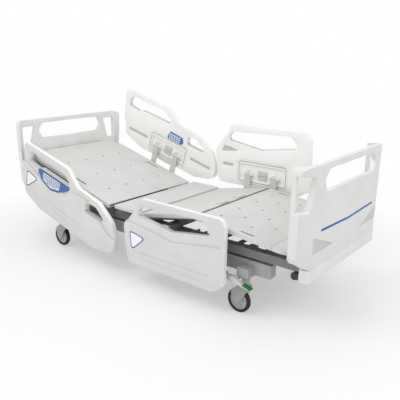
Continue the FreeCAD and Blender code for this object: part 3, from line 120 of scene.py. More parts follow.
def finish(name, light, dark, roughness, grain_mm, relief, stretch=(1, 1, 1), metallic=0.0, coat=0.0):
    """A surface that wanders between two colours, with a grain of the given size."""
    material = bpy.data.materials.new(name)
    material.use_nodes = True
    tree = material.node_tree
    shader = tree.nodes["Principled BSDF"]
    shader.inputs["Metallic"].default_value = metallic
    shader.inputs["Coat Weight"].default_value = coat
    shader.inputs["Coat Roughness"].default_value = COAT_ROUGHNESS
    place = add(tree, "ShaderNodeTexCoord").outputs["Object"]
    cloud = add(tree, "ShaderNodeTexNoise", {"Vector": place, "Scale": 1000 / CLOUD_MM, "Detail": 4.0})
    ramp = add(tree, "ShaderNodeValToRGB", {"Fac": cloud.outputs["Fac"]})
    ramp.color_ramp.elements[0].position = CLOUD_LOW
    ramp.color_ramp.elements[1].position = CLOUD_HIGH
    ramp.color_ramp.elements[0].color = colour_of(dark)
    ramp.color_ramp.elements[1].color = colour_of(light)
    tree.links.new(ramp.outputs["Color"], shader.inputs["Base Color"])
    stretched = add(tree, "ShaderNodeMapping", {"Vector": place, "Scale": stretch})
    grain = add(tree, "ShaderNodeTexNoise",
                {"Vector": stretched.outputs["Vector"], "Scale": 1000 / grain_mm, "Detail": 2.0})
    sheen = add(tree, "ShaderNodeMapRange",
                {"Value": grain.outputs["Fac"], "From Min": CLOUD_LOW, "From Max": CLOUD_HIGH,
                 "To Min": roughness - 0.05, "To Max": roughness + 0.06})
    tree.links.new(sheen.outputs["Result"], shader.inputs["Roughness"])
    bump = add(tree, "ShaderNodeBump",
               {"Height": grain.outputs["Fac"], "Strength": relief, "Distance": BUMP_DEPTH})
    tree.links.new(bump.outputs["Normal"], shader.inputs["Normal"])
    return material


# %% [markdown]
# The boards and rails are polypropylene, injection moulded and smooth to the hand, so they wipe
# clean: their sheen is soft and even. The deck panels are ABS with a sand-blasted mould, duller and
# a touch greyer. Frames are steel with powder coating, whose orange-peel waves are about 2 mm.

# %% One material for each finish
looks = {
    "rail": finish("moulded_polypropylene", "#F7F7F5", "#F2F2F0", 0.36, 2.5, 0.03, coat=0.10),
    "skin": finish("moulded_polypropylene_outer_skin", "#DADAD8", "#D3D3D1", 0.38, 2.5, 0.04, coat=0.10),
    # painted shade: the darker grey on sills, ledges and sunk floors of the rails and the foot board
    "shade": finish("moulded_polypropylene_in_shade", "#C8C8C6", "#C0C0BE", 0.42, 2.5, 0.04),
    "board": finish("moulded_polypropylene_boards", "#E6E6E4", "#DFDFDD", 0.36, 2.5, 0.03, coat=0.10),
    "deck": finish("sand_blasted_abs", "#D8D8D6", "#D1D1CF", 0.52, 1.6, 0.10),
    "bumper": finish("moulded_bumper_polyethylene", "#E0E0DE", "#D9D9D7", 0.45, 2.0, 0.05),
    "arm": finish("powder_coated_light_steel", "#D2D2CF", "#CACAC7", 0.40, 2.0, 0.06),
    "latch": finish("glass_filled_nylon", "#CFCFCC", "#C6C6C3", 0.50, 1.4, 0.10),
    "frame_steel": finish("powder_coated_dark_grey_steel", "#808182", "#747576", 0.42, 2.0, 0.08),
    "chassis_steel": finish("powder_coated_grey_steel", "#A9AAAB", "#9D9E9F", 0.42, 2.0, 0.08),
    "motor": finish("black_glass_filled_nylon", "#2E2F31", "#252628", 0.48, 1.2, 0.12),
    # real black rubber, and also painted shade: the black marks in vents, strap slots and gaps of the deck
    "dark_rubber": finish("black_rubber_and_painted_shade", "#232324", "#1A1A1B", 0.70, 1.5, 0.15),
    "wheel": finish("grey_moulded_nylon", "#B4B4B2", "#A8A8A6", 0.42, 1.6, 0.06),
    "fork": finish("grey_moulded_polypropylene", "#A6A6A4", "#9A9A98", 0.40, 1.8, 0.06),
    "tyre": finish("grey_black_polyurethane_tread", "#1C1C1D", "#141415", 0.62, 1.2, 0.15),
    "blue": finish("blue_printed_polyester_overlay", "#2F66AE", "#295CA2", 0.28, 1.5, 0.02, coat=0.35),
    "keypad": finish("blue_membrane_keypad", "#4A7BB8", "#4272AE", 0.38, 1.2, 0.05),
    "stripe": finish("blue_satin_inlay", "#1F5CA8", "#1A539C", 0.50, 1.5, 0.02),
    "red": finish("red_moulded_pedal_pad", "#8F1A1A", "#7C1414", 0.50, 1.4, 0.10),
    "green": finish("green_moulded_pedal_pad", "#2A7A34", "#216A2B", 0.50, 1.4, 0.10),
    # drawn steel: the scratches run along the rod, ten times as long as they are wide
    "rod": finish("ground_steel_rod", "#C4C6C8", "#B4B6B8", 0.28, 1.0, 0.05, stretch=(0.1, 1, 1),
                  metallic=1.0),
}
# painted shade: a dark grey for the groove line on the inner face of the rails
groove_painted_shade = finish("shadowed_recess_plastic", "#5C5D5E", "#505152", 0.60, 1.5, 0.08)
white_key = finish("white_silicone_keys", "#ECEDEE", "#E4E5E6", 0.45, 1.0, 0.05)
zinc = finish("zinc_plated_steel", "#B9BBBD", "#A2A4A6", 0.35, 0.8, 0.10, metallic=1.0)
print("materials:", len(bpy.data.materials))

# %% [markdown]
# ## Four small tools for pieces
# Every piece is an object at the origin whose place is in its mesh. Modifiers are baked in at once,
# because an export keeps plain meshes only. A new piece rides on the body that moves it.

# %% Link, bake, paint and settle


def link(name, mesh):
    """A new object at the origin for a mesh whose place is in its vertices."""
    piece = bpy.data.objects.new(name, mesh)
    bpy.context.scene.collection.objects.link(piece)
    return piece


def applied(piece):
    """Bake the piece's modifiers into its mesh."""
    bpy.context.view_layer.update()
    graph = bpy.context.evaluated_depsgraph_get()
    mesh = bpy.data.meshes.new_from_object(piece.evaluated_get(graph))
    piece.modifiers.clear()
    piece.data = mesh
    return piece


def paint(piece, material):
    """One material for the whole piece."""
    piece.data.materials.clear()
    piece.data.materials.append(material)
    return piece


def settled(piece, place, material, body):
    """Move the mesh to its place, paint the piece and let it ride on its body."""
    piece.data.transform(place)
    paint(piece, material)
    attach(piece, body)
    return piece


# %% [markdown]
# ## Frames of reference for the rails
# A side rail is easiest to draw lying in its own plane: x towards the foot end, z up from the pins of
# its arms. The foot rails stand square on the platform, and the head rails ride on the backrest, which
# is at 15 degrees. The arms are half as long as the rail's travel: a raised rail stands that much above
# their hinge line, a lowered one hangs that much below. The far rails are up and the near ones down.

# %% Where each rail's own drawing lands
HINGE_UP = 419 * MM
BACK_HINGE_X = -320 * MM
HALF_TRAVEL = 177.5 * MM
BACK_ANGLE = math.radians(15)
OUTER = 500
SET_BACK = 12
RAIL_THICK = 45


def rail_place(kind, side):
    """Matrix from a rail's own drawing to the bed at rest."""
    shift = Matrix.Translation((0, 0, side * HALF_TRAVEL))
    if kind == "foot":
        return Matrix.Translation((0, 0, HINGE_UP)) @ shift
    hinge = Matrix.Translation((BACK_HINGE_X, 0, HINGE_UP))
    return hinge @ Matrix.Rotation(BACK_ANGLE, 4, "Y") @ shift


# %% [markdown]
# ## Outlines with round corners
# Badges, key fields and beads are flat shapes with round corners. A short list of corners with one
# radius is easier to read and to change than a long list of points, so a helper replaces each corner
# by an arc that is tangent to both of its sides.

# %% Round an outline, then raise it or run a bead along it
ARC_STEPS = 5
MOST_OF_HALF = 0.49


def rounded(corners, radius):
    """The outline with each corner replaced by an arc."""
    outline = []
    count = len(corners)
    for index in range(count):
        corner = Vector(corners[index])
        before = Vector(corners[index - 1]) - corner
        after = Vector(corners[(index + 1) % count]) - corner
        turn = before.angle(after)
        longest = min(before.length * MOST_OF_HALF, after.length * MOST_OF_HALF)
        reach = min(radius / math.tan(turn / 2), longest)
        start = corner + before.normalized() * reach
        end = corner + after.normalized() * reach
        for step in range(ARC_STEPS + 1):
            share = step / ARC_STEPS
            outline.append(start * (1 - share) ** 2 + corner * 2 * share * (1 - share) + end * share ** 2)
    return outline


def shrunk(corners, inset):
    """The outline with every side moved inwards by the same distance."""
    points = [Vector(corner) for corner in corners]
    count = len(points)
    area = sum(points[i - 1].x * points[i].y - points[i].x * points[i - 1].y for i in range(count))
    turn = 1 if area > 0 else -1
    result = []
    for index, corner in enumerate(points):
        back = (corner - points[index - 1]).normalized()
        ahead = (points[(index + 1) % count] - corner).normalized()
        normals = [Vector((-line.y, line.x)) * turn for line in (back, ahead)]
        bisector = (normals[0] + normals[1]).normalized()
        result.append(tuple(corner + bisector * inset / bisector.dot(normals[0])))
    return result


def plate(name, outline, back, front, place, material, body, edge):
    """A flat raised shape between two distances from the bed's middle plane."""
    shape = bmesh.new()
    ring = [shape.verts.new((point[0] * MM, back * MM, point[1] * MM)) for point in outline]
    base = shape.faces.new(ring)
    raised = bmesh.ops.extrude_face_region(shape, geom=[base])
    moved = [item for item in raised["geom"] if isinstance(item, bmesh.types.BMVert)]
    bmesh.ops.translate(shape, verts=moved, vec=(0, (front - back) * MM, 0))
    top_edges = [item for item in raised["geom"] if isinstance(item, bmesh.types.BMEdge)]
    bmesh.ops.bevel(shape, geom=top_edges, offset=edge * MM, segments=2, affect="EDGES", profile=0.5)
    bmesh.ops.recalc_face_normals(shape, faces=shape.faces)
    mesh = bpy.data.meshes.new(name)
    shape.to_mesh(mesh)
    shape.free()
    return settled(link(name, mesh), place, material, body)


def bead(name, outline, depth, thick, place, material, body):
    """A round bead that follows a closed outline, half sunk in the face it lies on."""
    curve = bpy.data.curves.new(name, "CURVE")
    curve.dimensions = "3D"
    curve.bevel_depth = thick * MM
    curve.bevel_resolution = 2
    curve.use_fill_caps = True
    line = curve.splines.new("POLY")
    line.points.add(len(outline) - 1)
    for spot, point in zip(line.points, outline):
        spot.co = (point[0] * MM, depth * MM, point[1] * MM, 1)
    line.use_cyclic_u = True
    draft = link(name + "_draft", curve)
    bpy.context.view_layer.update()
    graph = bpy.context.evaluated_depsgraph_get()
    mesh = bpy.data.meshes.new_from_object(draft.evaluated_get(graph))
    bpy.data.objects.remove(draft)
    for face in mesh.polygons:
        face.use_smooth = True
    return settled(link(name, mesh), place, material, body)


# %% [markdown]
# ## Rounded copies of the CAD pieces
# A mould or a press brake leaves a radius on every edge, and that radius draws the bright line that
# makes a shape readable. Three ways are open: a shader that fakes it, a bevel on the CAD object, or
# a bevel on a copy. The copy is best: its mesh can be merged first, because a CAD mesh is loose
# triangles, and the result is real geometry that every export keeps.

# %% A copy with rounded edges
SHARP = math.radians(34)
FLAT = math.radians(1.5)
SMOOTH_BELOW = math.radians(30)
WELD = 2e-5
BEVEL_STEPS = 3


def dressed(node, radius_mm, cutters=()):
    """Show a CAD node by a copy of its mesh with merged faces, sunk fields and rounded edges."""
    mesh = nodes[node].data.copy()
    shape = bmesh.new()
    shape.from_mesh(mesh)
    bmesh.ops.remove_doubles(shape, verts=shape.verts, dist=WELD)
    bmesh.ops.dissolve_limit(shape, angle_limit=FLAT, verts=shape.verts, edges=shape.edges,
                             delimit=set())
    shape.to_mesh(mesh)
    shape.free()
    piece = link(node + "_shell", mesh)
    for cutter in cutters:
        cut = piece.modifiers.new("sunk field", "BOOLEAN")
        cut.operation = "DIFFERENCE"
        cut.solver = "EXACT"
        cut.object = cutter
    bevel = piece.modifiers.new("rounded edges", "BEVEL")
    bevel.width = radius_mm * MM
    bevel.segments = BEVEL_STEPS
    bevel.limit_method = "ANGLE"
    bevel.angle_limit = SHARP
    bevel.use_clamp_overlap = True
    applied(piece)
    for cutter in cutters:
        bpy.data.objects.remove(cutter)
    for face in piece.data.polygons:
        face.use_smooth = True
    piece.data.set_sharp_from_angle(angle=SMOOTH_BELOW)
    paint(piece, looks[slot_of[node]])
    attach(piece, nodes[node]["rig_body"])
    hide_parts(node)
    return piece


# %% [markdown]
# Radii differ by piece: boards and hand rails are gripped and get the largest, a deck panel has a
# crisp 3 mm edge, and steel only a broken edge of 1 to 2 mm.
#
# The outer faces of the rails carry a three-cornered badge, a fine seam along the lower edge and, on
# the head rails, the nurse's panel. All lie in shallow sunk fields, so that nothing stands past the
# rail's face.

# %% Sunk fields of the rails
BADGES = {"head": [(-768, 142), (-622, 122), (-758, -6)], "foot": [(-10, 120), (138, 92), (8, -16)]}
SEAMS = {"head": [(-790, -12), (-170, -50)], "foot": [(14, -44), (640, -62)]}
PANEL = [(-645, 203), (-640, 172), (-579, 130), (-485, 104), (-398, 124), (-311, 172), (-292, 203)]
CORNER_RECESS = [(18, 181), (-4, 130), (165, 154)]
FIELD_DEPTH = 3
SEAM_DEPTH = 1.6
SEAM_WIDE = 3.5
PANEL_DEPTH = SET_BACK + 4
PANEL_MARGIN = 5
CORNER_DEPTH = 5
SPARE = 5


def prism(name, outline, back, front, place):
    """A closed prism between two distances from the bed's middle plane, used as a cutter."""
    shape = bmesh.new()
    ring = [shape.verts.new((point[0] * MM, back * MM, point[1] * MM)) for point in outline]
    raised = bmesh.ops.extrude_face_region(shape, geom=[shape.faces.new(ring)], use_keep_orig=True)
    moved = [item for item in raised["geom"] if isinstance(item, bmesh.types.BMVert)]
    bmesh.ops.translate(shape, verts=moved, vec=(0, (front - back) * MM, 0))
    bmesh.ops.recalc_face_normals(shape, faces=shape.faces)
    mesh = bpy.data.meshes.new(name)
    shape.to_mesh(mesh)
    shape.free()
    mesh.transform(place)
    return link(name, mesh)


def sunk_fields(node):
    """Cutters for the fields that lie sunk in the outer face of a rail."""
    kind, _, end = node.partition("_rail_")
    if end not in SIDES or kind not in BADGES:
        return []
    side = SIDES[end]
    place = rail_place(kind, side)
    inner = OUTER - RAIL_THICK
    first, last = SEAMS[kind]
    seam = [first, last, (last[0], last[1] - SEAM_WIDE), (first[0], first[1] - SEAM_WIDE)]
    fields = [(rounded(BADGES[kind], 22), FIELD_DEPTH), (seam, SEAM_DEPTH)]
    if kind == "head":
        fields.append((rounded(shrunk(PANEL, -PANEL_MARGIN), 34), PANEL_DEPTH))
    cutters = [prism("%s_field_%d" % (node, number), outline, side * (OUTER - depth),
                     side * (OUTER + SPARE), place)
               for number, (outline, depth) in enumerate(fields)]
    if kind == "foot":
        cutters.append(prism(node + "_corner", rounded(CORNER_RECESS, 9), side * (inner - SPARE),
                             side * (inner + CORNER_DEPTH), place))
    return cutters


# %% [markdown]
# One mould can still show several greys: the outer skin is a touch greyer than the inside. The sills of
# the openings, the ledge and the sunk finger pads get painted shade, a darker grey that stands in for
# the shade that falls on them. Which face is which follows from where it lies in the rail's own drawing
# and from where it looks.

# %% Greys of rails and foot board, with painted shade
SILLS = {"foot": [(39, 622, 172, 292)], "head": [(-785, -292, 187, 280), (-116, 76, 109, 180)]}
UPWARD = 0.4
OUTWARD = 0.35
SQUARELY = 0.6
PAD_FLOOR = (RAIL_THICK - 8, RAIL_THICK - 2)
ARROW_FLOOR = (2.5, 3.5)
ARROW_TOP = 580
SKIN_REACH = 60


def two_tone(node, piece):
    """Give a rail's outer skin a greyer colour, and paint shade on its sills, ledge and finger pads."""
    kind, _, end = node.partition("_rail_")
    side = SIDES[end]
    drawn = rail_place(kind, side).inverted()
    piece.data.materials.append(looks["skin"])
    piece.data.materials.append(looks["shade"])
    for face in piece.data.polygons:
        spot = (drawn @ face.center) / MM
        facing = drawn.to_3x3() @ face.normal
        depth = OUTER - spot.y * side
        ledge = facing.z > UPWARD and depth < SET_BACK - 1
        sill = facing.z > UPWARD and any(low_x < spot.x < high_x and low_z < spot.z < high_z
                                         for low_x, high_x, low_z, high_z in SILLS[kind])
        pad = facing.y * side < -SQUARELY and PAD_FLOOR[0] < depth < PAD_FLOOR[1]
        # painted shade on the sills, the ledge and the sunk pad floors
        if ledge or sill or pad:
            face.material_index = 2
        elif facing.y * side > OUTWARD and depth < RAIL_THICK / 2:
            face.material_index = 1


def board_tones(piece, end):
    """The outer face of the foot board is greyer than its inner one, and painted shade lies on the sunk
    floors of its arrows.
    """
    piece.data.materials.append(looks["skin"])
    piece.data.materials.append(looks["shade"])
    for face in piece.data.polygons:
        depth = end - face.center.x / MM
        if face.normal.x > OUTWARD and depth < SKIN_REACH:
            # painted shade on the sunk floors of the arrows
            sunk = ARROW_FLOOR[0] < depth < ARROW_FLOOR[1] and face.normal.x > 0.9
            arrow = sunk and face.center.z / MM < ARROW_TOP
            face.material_index = 2 if arrow else 1


# %% Dress every node
RADIUS = {"rail": 5, "board": 6, "deck": 3, "bumper": 5, "arm": 2, "latch": 1.5, "frame_steel": 1.2,
          "chassis_steel": 2, "motor": 1.5, "dark_rubber": 1.5, "wheel": 1.2, "fork": 3, "tyre": 1,
          "blue": 1, "keypad": 0.8, "stripe": 0.3, "red": 1.5, "green": 1.5, "rod": 0.8}
shells = {node: dressed(node, RADIUS[slot_of[node]], sunk_fields(node)) for node in sorted(nodes)
          if not node.startswith("control_panel")}
for kind in BADGES:
    for end in SIDES:
        node = "%s_rail_%s" % (kind, end)
        two_tone(node, shells[node])
board_tones(shells["footboard"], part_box("footboard")[1].x / MM)
paint(shells["chassis_caps"], looks["chassis_steel"])
paint(shells["brake_shaft"], looks["arm"])
for end in SIDES:
    paint(shells["foot_roller_" + end], looks["dark_rubber"])
# the ears that hold the rollers are black too; they stand behind the bumper bar, which is 60 mm deep
EAR_SET_BACK = 61 * MM
shells["foot_bumper"].data.materials.append(looks["motor"])
ears_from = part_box("foot_bumper")[1].x - EAR_SET_BACK
for face in shells["foot_bumper"].data.polygons:
    if face.center.x < ears_from:
        face.material_index = 1
print("dressed:", len(shells), "pieces,", sum(len(o.data.polygons) for o in shells.values()), "faces")

# %% [markdown]
# ## Repeats by Geometry Nodes
# Keys, bolts and cooling ribs are one small shape many times over. The points where they sit are the
# vertices of a helper mesh, and a node tree puts a box or a cylinder on each. The tree ends in
# Realize Instances and Set Material, and its result is turned into a plain mesh, because instances
# and live modifiers are lost in an export.

# %% A tree that puts one small shape on many points
STAY = Matrix.Identity(4)
UNTURNED = (0, 0, 0)
ON_ITS_SIDE = (90, 0, 0)


def repeat_tree(name, round_shape, material):
    """Geometry Nodes: a box, or a cylinder, on every vertex."""
    tree = bpy.data.node_groups.new(name, "GeometryNodeTree")
    tree.interface.new_socket("Points", in_out="INPUT", socket_type="NodeSocketGeometry")
    tree.interface.new_socket("Size", in_out="INPUT", socket_type="NodeSocketVector")
    tree.interface.new_socket("Turn", in_out="INPUT", socket_type="NodeSocketVector")
    tree.interface.new_socket("Sides", in_out="INPUT", socket_type="NodeSocketInt")
    tree.interface.new_socket("Result", in_out="OUTPUT", socket_type="NodeSocketGeometry")
    given = add(tree, "NodeGroupInput").outputs
    if round_shape:
        parts = add(tree, "ShaderNodeSeparateXYZ", {"Vector": given["Size"]}).outputs
        small = add(tree, "GeometryNodeMeshCylinder",
                    {"Vertices": given["Sides"], "Radius": parts["X"], "Depth": parts["Z"]})
    else:
        small = add(tree, "GeometryNodeMeshCube", {"Size": given["Size"]})
    turn = add(tree, "FunctionNodeEulerToRotation", {"Euler": given["Turn"]})
    placed = add(tree, "GeometryNodeInstanceOnPoints",
                 {"Points": given["Points"], "Instance": small.outputs["Mesh"],
                  "Rotation": turn.outputs["Rotation"]})
    real = add(tree, "GeometryNodeRealizeInstances", {"Geometry": placed.outputs["Instances"]})
    coloured = add(tree, "GeometryNodeSetMaterial",
                   {"Geometry": real.outputs["Geometry"], "Material": material})
    add(tree, "NodeGroupOutput", {"Result": coloured.outputs["Geometry"]})
    return tree


def repeated(name, points, size, turn, material, body, sides=0, place=STAY, edge=0.0):
    """The same small shape on every point, in millimetres, as one plain mesh."""
    mesh = bpy.data.meshes.new(name)
    mesh.from_pydata([Vector(point) * MM for point in points], [], [])
    piece = link(name, mesh)
    tree = repeat_tree(name + "_tree", sides > 0, material)
    modifier = piece.modifiers.new("repeat", "NODES")
    modifier.node_group = tree
    values = {"Size": [value * MM for value in size], "Turn": [math.radians(a) for a in turn],
              "Sides": max(sides, 3)}
    for socket in tree.interface.items_tree:
        if socket.in_out == "INPUT" and socket.name in values:
            modifier[socket.identifier] = values[socket.name]
    if edge:
        rim = piece.modifiers.new("edge", "BEVEL")
        rim.width = edge * MM
        rim.segments = 2
        rim.limit_method = "ANGLE"
    return settled(applied(piece), place, material, body)


# %% [markdown]
# ## Keys on the head rails
# The outer control panel is for the nurse: a blue overlay with a pale key field. The inner keypad is
# for the patient. Each key is a small cushion that stands a little out of its field.

# %% Key fields and keys
CONTROL_FACE = OUTER - SET_BACK + 6.3
KEYPAD_FACE = OUTER - RAIL_THICK - 3.3
KEY_FIELD = [(-582, 197), (-580, 144), (-485, 115), (-392, 138), (-388, 197)]
KEY_COLUMNS = range(-568, -398, 21)
KEY_ROWS = (187, 171, 155, 139)
SHORT_ROW = 139
SHORT_ROW_MIDDLE, SHORT_ROW_HALF = -485, 60
PATIENT_COLUMNS = (-278, -254, -230, -206, -182)
PATIENT_ROWS = (104, 121, 138)
FIELD_RISE = 0.8
KEY_RISE = 1.2
for end, side in SIDES.items():
    place = rail_place("head", side)
    body = "head_rail_" + end
    overlay = plate("control_panel_overlay_" + end, rounded(PANEL, 30), side * (OUTER - PANEL_DEPTH - 0.5),
                    side * CONTROL_FACE, place, looks["blue"], body, edge=1.2)
    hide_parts("control_panel_" + end)
    plate("key_field_" + end, rounded(KEY_FIELD, 12), side * (CONTROL_FACE - 0.4),
          side * (CONTROL_FACE + FIELD_RISE), place, white_key, body, edge=0.4)
    keys = [(x, side * (CONTROL_FACE + KEY_RISE), z) for z in KEY_ROWS for x in KEY_COLUMNS
            if z > SHORT_ROW or abs(x - SHORT_ROW_MIDDLE) < SHORT_ROW_HALF]
    repeated("control_keys_" + end, keys, (14, 1.4, 9), UNTURNED, looks["keypad"], body,
             place=place, edge=0.5)
    inner = [(x, side * (KEYPAD_FACE - 0.6), z) for x in PATIENT_COLUMNS for z in PATIENT_ROWS]
    repeated("patient_keys_" + end, inner, (17, 1.8, 11), UNTURNED, white_key, body,
             place=place, edge=0.5)

# %% [markdown]
# ## Beads and badges on the rails
# The inner face of a moulded rail has a double line that frames the swing arms: the inner line is a
# dark grey bead of painted shade, where a groove lies in shade, and the outer one is pale grey. The outer
# face carries a three-cornered plate with a coloured rim, which stands in its own sunk field.

# %% Rail details
FRAME_LINES = {"foot": (160, 545), "head": (-470, -95)}
FRAME_LOW, FRAME_HIGH = -62, 82
FRAME_STEP = 14
LINE_RADIUS = 16
LINE_THICK = 1.6
RIM_BELOW_FACE = 1.6
PLATE_BELOW_FACE = 0.8
floor_of_field = OUTER - FIELD_DEPTH - 0.5
for end, side in SIDES.items():
    inner_face = side * (OUTER - RAIL_THICK)
    for kind, (low_x, high_x) in FRAME_LINES.items():
        place = rail_place(kind, side)
        body = "%s_rail_%s" % (kind, end)
        # the first line is painted shade of a groove, the second a pale grey line
        for number, colour in enumerate((groove_painted_shade, looks["skin"])):
            grow = FRAME_STEP * number
            low_z = FRAME_LOW - grow
            high_z = FRAME_HIGH + grow
            line = rounded([(low_x - grow, low_z), (high_x + grow, low_z), (high_x + grow, high_z),
                            (low_x - grow, high_z)], LINE_RADIUS + grow)
            bead("%s_rail_frame_line_%d_%s" % (kind, number, end), line, inner_face, LINE_THICK, place,
                 colour, body)
        corners = BADGES[kind]
        plate("%s_badge_rim_%s" % (kind, end), rounded(shrunk(corners, 2), 20), side * floor_of_field,
              side * (OUTER - RIM_BELOW_FACE), place, looks["blue"], body, edge=0.5)
        plate("%s_badge_face_%s" % (kind, end), rounded(shrunk(corners, 9), 14), side * floor_of_field,
              side * (OUTER - PLATE_BELOW_FACE), place, looks["rail"], body, edge=0.4)

# %% [markdown]
# ## Dark holes in the deck
# Under the deck there is hardly any light, so vents and strap slots read as black marks. Each gets
# painted shade: a black disc or bar a hair above the moulded skin. Rows are staggered like bricks, which
# keeps the sheet stiff between the holes, and they follow the panels when a section is raised.

# %% Painted shade in vents and strap slots
PANEL_TOP = 41
VENT_RADIUS = 5.5
PAINTED_SHADE_THICK = 0.8
SLOT_WIDE = 9.4
SLOT_DEPTH = 1
DECK_EDGE = 355
PANELS = {
    "backrest": {"turn": 15, "hinge": (-320, 419), "rows": [-150 - 230 * step for step in range(3)],
                 "columns": (4, 170), "slots": [(-330, 365, 120)]},
    "leg": {"turn": 6.4, "hinge": (440.93, 492.46), "rows": [100 + 107 * step for step in range(4)],
            "columns": (4, 190), "slots": [(140, 380, 90), (350, 380, 90)]},
}


def panel_place(panel):
    """Matrix from a deck panel's own frame to the bed at rest."""
    along, up = panel["hinge"]
    turn = Matrix.Rotation(math.radians(panel["turn"]), 4, "Y")
    return Matrix.Translation((along * MM, 0, up * MM)) @ turn


for body, panel in PANELS.items():
    place = panel_place(panel)
    count, step = panel["columns"]
    vents = []
    for row, along in enumerate(panel["rows"]):
        shift = step / 2 if row % 2 else 0
        vents += [(along, (n - (count - 1) / 2) * step + shift, PANEL_TOP + 0.1) for n in range(count)]
    vents = [vent for vent in vents if abs(vent[1]) < DECK_EDGE]
    # painted shade: black discs for the dark inside of the vents
    repeated("painted_vent_shade_" + body, vents, (VENT_RADIUS, 0, PAINTED_SHADE_THICK), UNTURNED, looks["dark_rubber"],
             body, sides=16, place=place)
    # painted shade: black bars for the dark inside of the strap slots
    for along, across, long in panel["slots"]:
        pair = [(along, side * across, PANEL_TOP - SLOT_DEPTH) for side in SIDES.values()]
        repeated("strap_slots_%s_%d" % (body, along), pair, (long - 1, SLOT_WIDE, 1), UNTURNED,
                 looks["dark_rubber"], body, place=place)

# %% [markdown]
# Dark strips are painted shade in the gaps between the sections. One lies on the leg section along the
# knee, and one is stuck on the backrest's lower edge. That one is short and thin, because it sweeps past
# the platform's cross member when the backrest is raised.

# %% Painted shade along the gaps
GAP_SHADE_HALF = 400
# painted shade: dark strips stand for the shadow inside the gaps
repeated("knee_gap_painted_shade", [(6, 0, PANEL_TOP + 0.1)], (9, 2 * GAP_SHADE_HALF, PAINTED_SHADE_THICK), UNTURNED,
         looks["dark_rubber"], "leg", place=panel_place(PANELS["leg"]))
repeated("backrest_gap_painted_shade", [(30.3, -120, 31)], (1, 570, 10), UNTURNED, looks["dark_rubber"],
         "backrest", place=panel_place(PANELS["backrest"]))

# %% [markdown]
# ## Bolts, pockets and ribs
# Bolts show where a bed is put together: at the castors and on the lift pins. Round pockets in a
# wheel mark where the moulding was lightened, and the control box has ribs that stiffen its thin
# nylon.

# %% Castor bolts and wheel pockets
CASTORS = {"foot": 785, "head": -835}
CASTOR_SIDE = 361
TRAIL = 40
AXLE_UP = 75
BOLT_OUT = 24.4
POCKET_RING = 32
POCKET_OUT = 8.4
for along, stem in CASTORS.items():
    for end, side in SIDES.items():
        name = "%s_%s" % (along, end)
        axle = (stem - TRAIL, side * CASTOR_SIDE)
        bolts = [(axle[0], axle[1] + face * BOLT_OUT, AXLE_UP) for face in (-1, 1)]
        repeated("axle_bolts_" + name, bolts, (9, 0, 4.4), ON_ITS_SIDE, zinc, "fork_" + name,
                 sides=6, edge=0.6)
        angles = [math.radians(angle) for angle in range(0, 360, 60)]
        ring = [(axle[0] + POCKET_RING * math.cos(angle), axle[1] + face * POCKET_OUT,
                 AXLE_UP + POCKET_RING * math.sin(angle)) for angle in angles for face in (-1, 1)]
        repeated("wheel_pockets_" + name, ring, (7, 0, 1.6), ON_ITS_SIDE, looks["fork"],
                 "wheel_" + name, sides=20, edge=0.4)

# %% Bolts on the lift pins and ribs under the control box
BEAM_OUTER = 340
LIFT_PINS = (-633, 344)
PIN_UP = 285
HEAD_TALL = 5
RIB_COUNT = 9
RIB_FROM, RIB_PITCH = 25, 15
RIB_MARGIN = 40
heads = [(x, side * (BEAM_OUTER + HEAD_TALL / 2), PIN_UP) for x in LIFT_PINS for side in SIDES.values()]
repeated("lift_pin_heads", heads, (13, 0, HEAD_TALL), ON_ITS_SIDE, zinc, "chassis",
         sides=6, edge=0.8)
box_low, box_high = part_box("control_box")
ribs = [(box_low[0] / MM + RIB_FROM + RIB_PITCH * step, 0, box_low[2] / MM - 0.6)
        for step in range(RIB_COUNT)]
wide = (box_high[1] - box_low[1]) / MM - RIB_MARGIN
repeated("control_box_ribs", ribs, (4, wide, 2.4), UNTURNED, looks["motor"], "platform",
         edge=0.5)

# %% [markdown]
# ## The room, the lamps and the camera
# The bed stands on a white sweep. A large soft lamp above and to the left gives the gentle shadow,
# and a pale world fills the rest, so that a colour renders about as it is written. The camera is at
# the photograph's place, worked out from the bed's known corners.

# %% World
FILL = 0.80
WHITE = (1, 1, 1, 1)
world = bpy.data.worlds.new("pale_room")
bpy.context.scene.world = world
world.use_nodes = True
sky = world.node_tree
sky.nodes.clear()
ray = add(sky, "ShaderNodeLightPath").outputs
seen = add(sky, "ShaderNodeMath", {0: ray["Is Camera Ray"], 1: ray["Is Glossy Ray"]},
           operation="MAXIMUM")
seen = add(sky, "ShaderNodeMath", {0: seen.outputs[0], 1: ray["Is Transmission Ray"]},
           operation="MAXIMUM")
fill = add(sky, "ShaderNodeBackground", {"Color": WHITE, "Strength": FILL})
backdrop = add(sky, "ShaderNodeBackground", {"Color": WHITE, "Strength": 1.0})
both = add(sky, "ShaderNodeMixShader", {0: seen.outputs[0], 1: fill.outputs[0], 2: backdrop.outputs[0]})
add(sky, "ShaderNodeOutputWorld", {"Surface": both.outputs[0]})

# %% [markdown]
# The floor is paper that catches the bed's shadow. Further out it fades to nothing, so that paper and
# backdrop meet without a line.

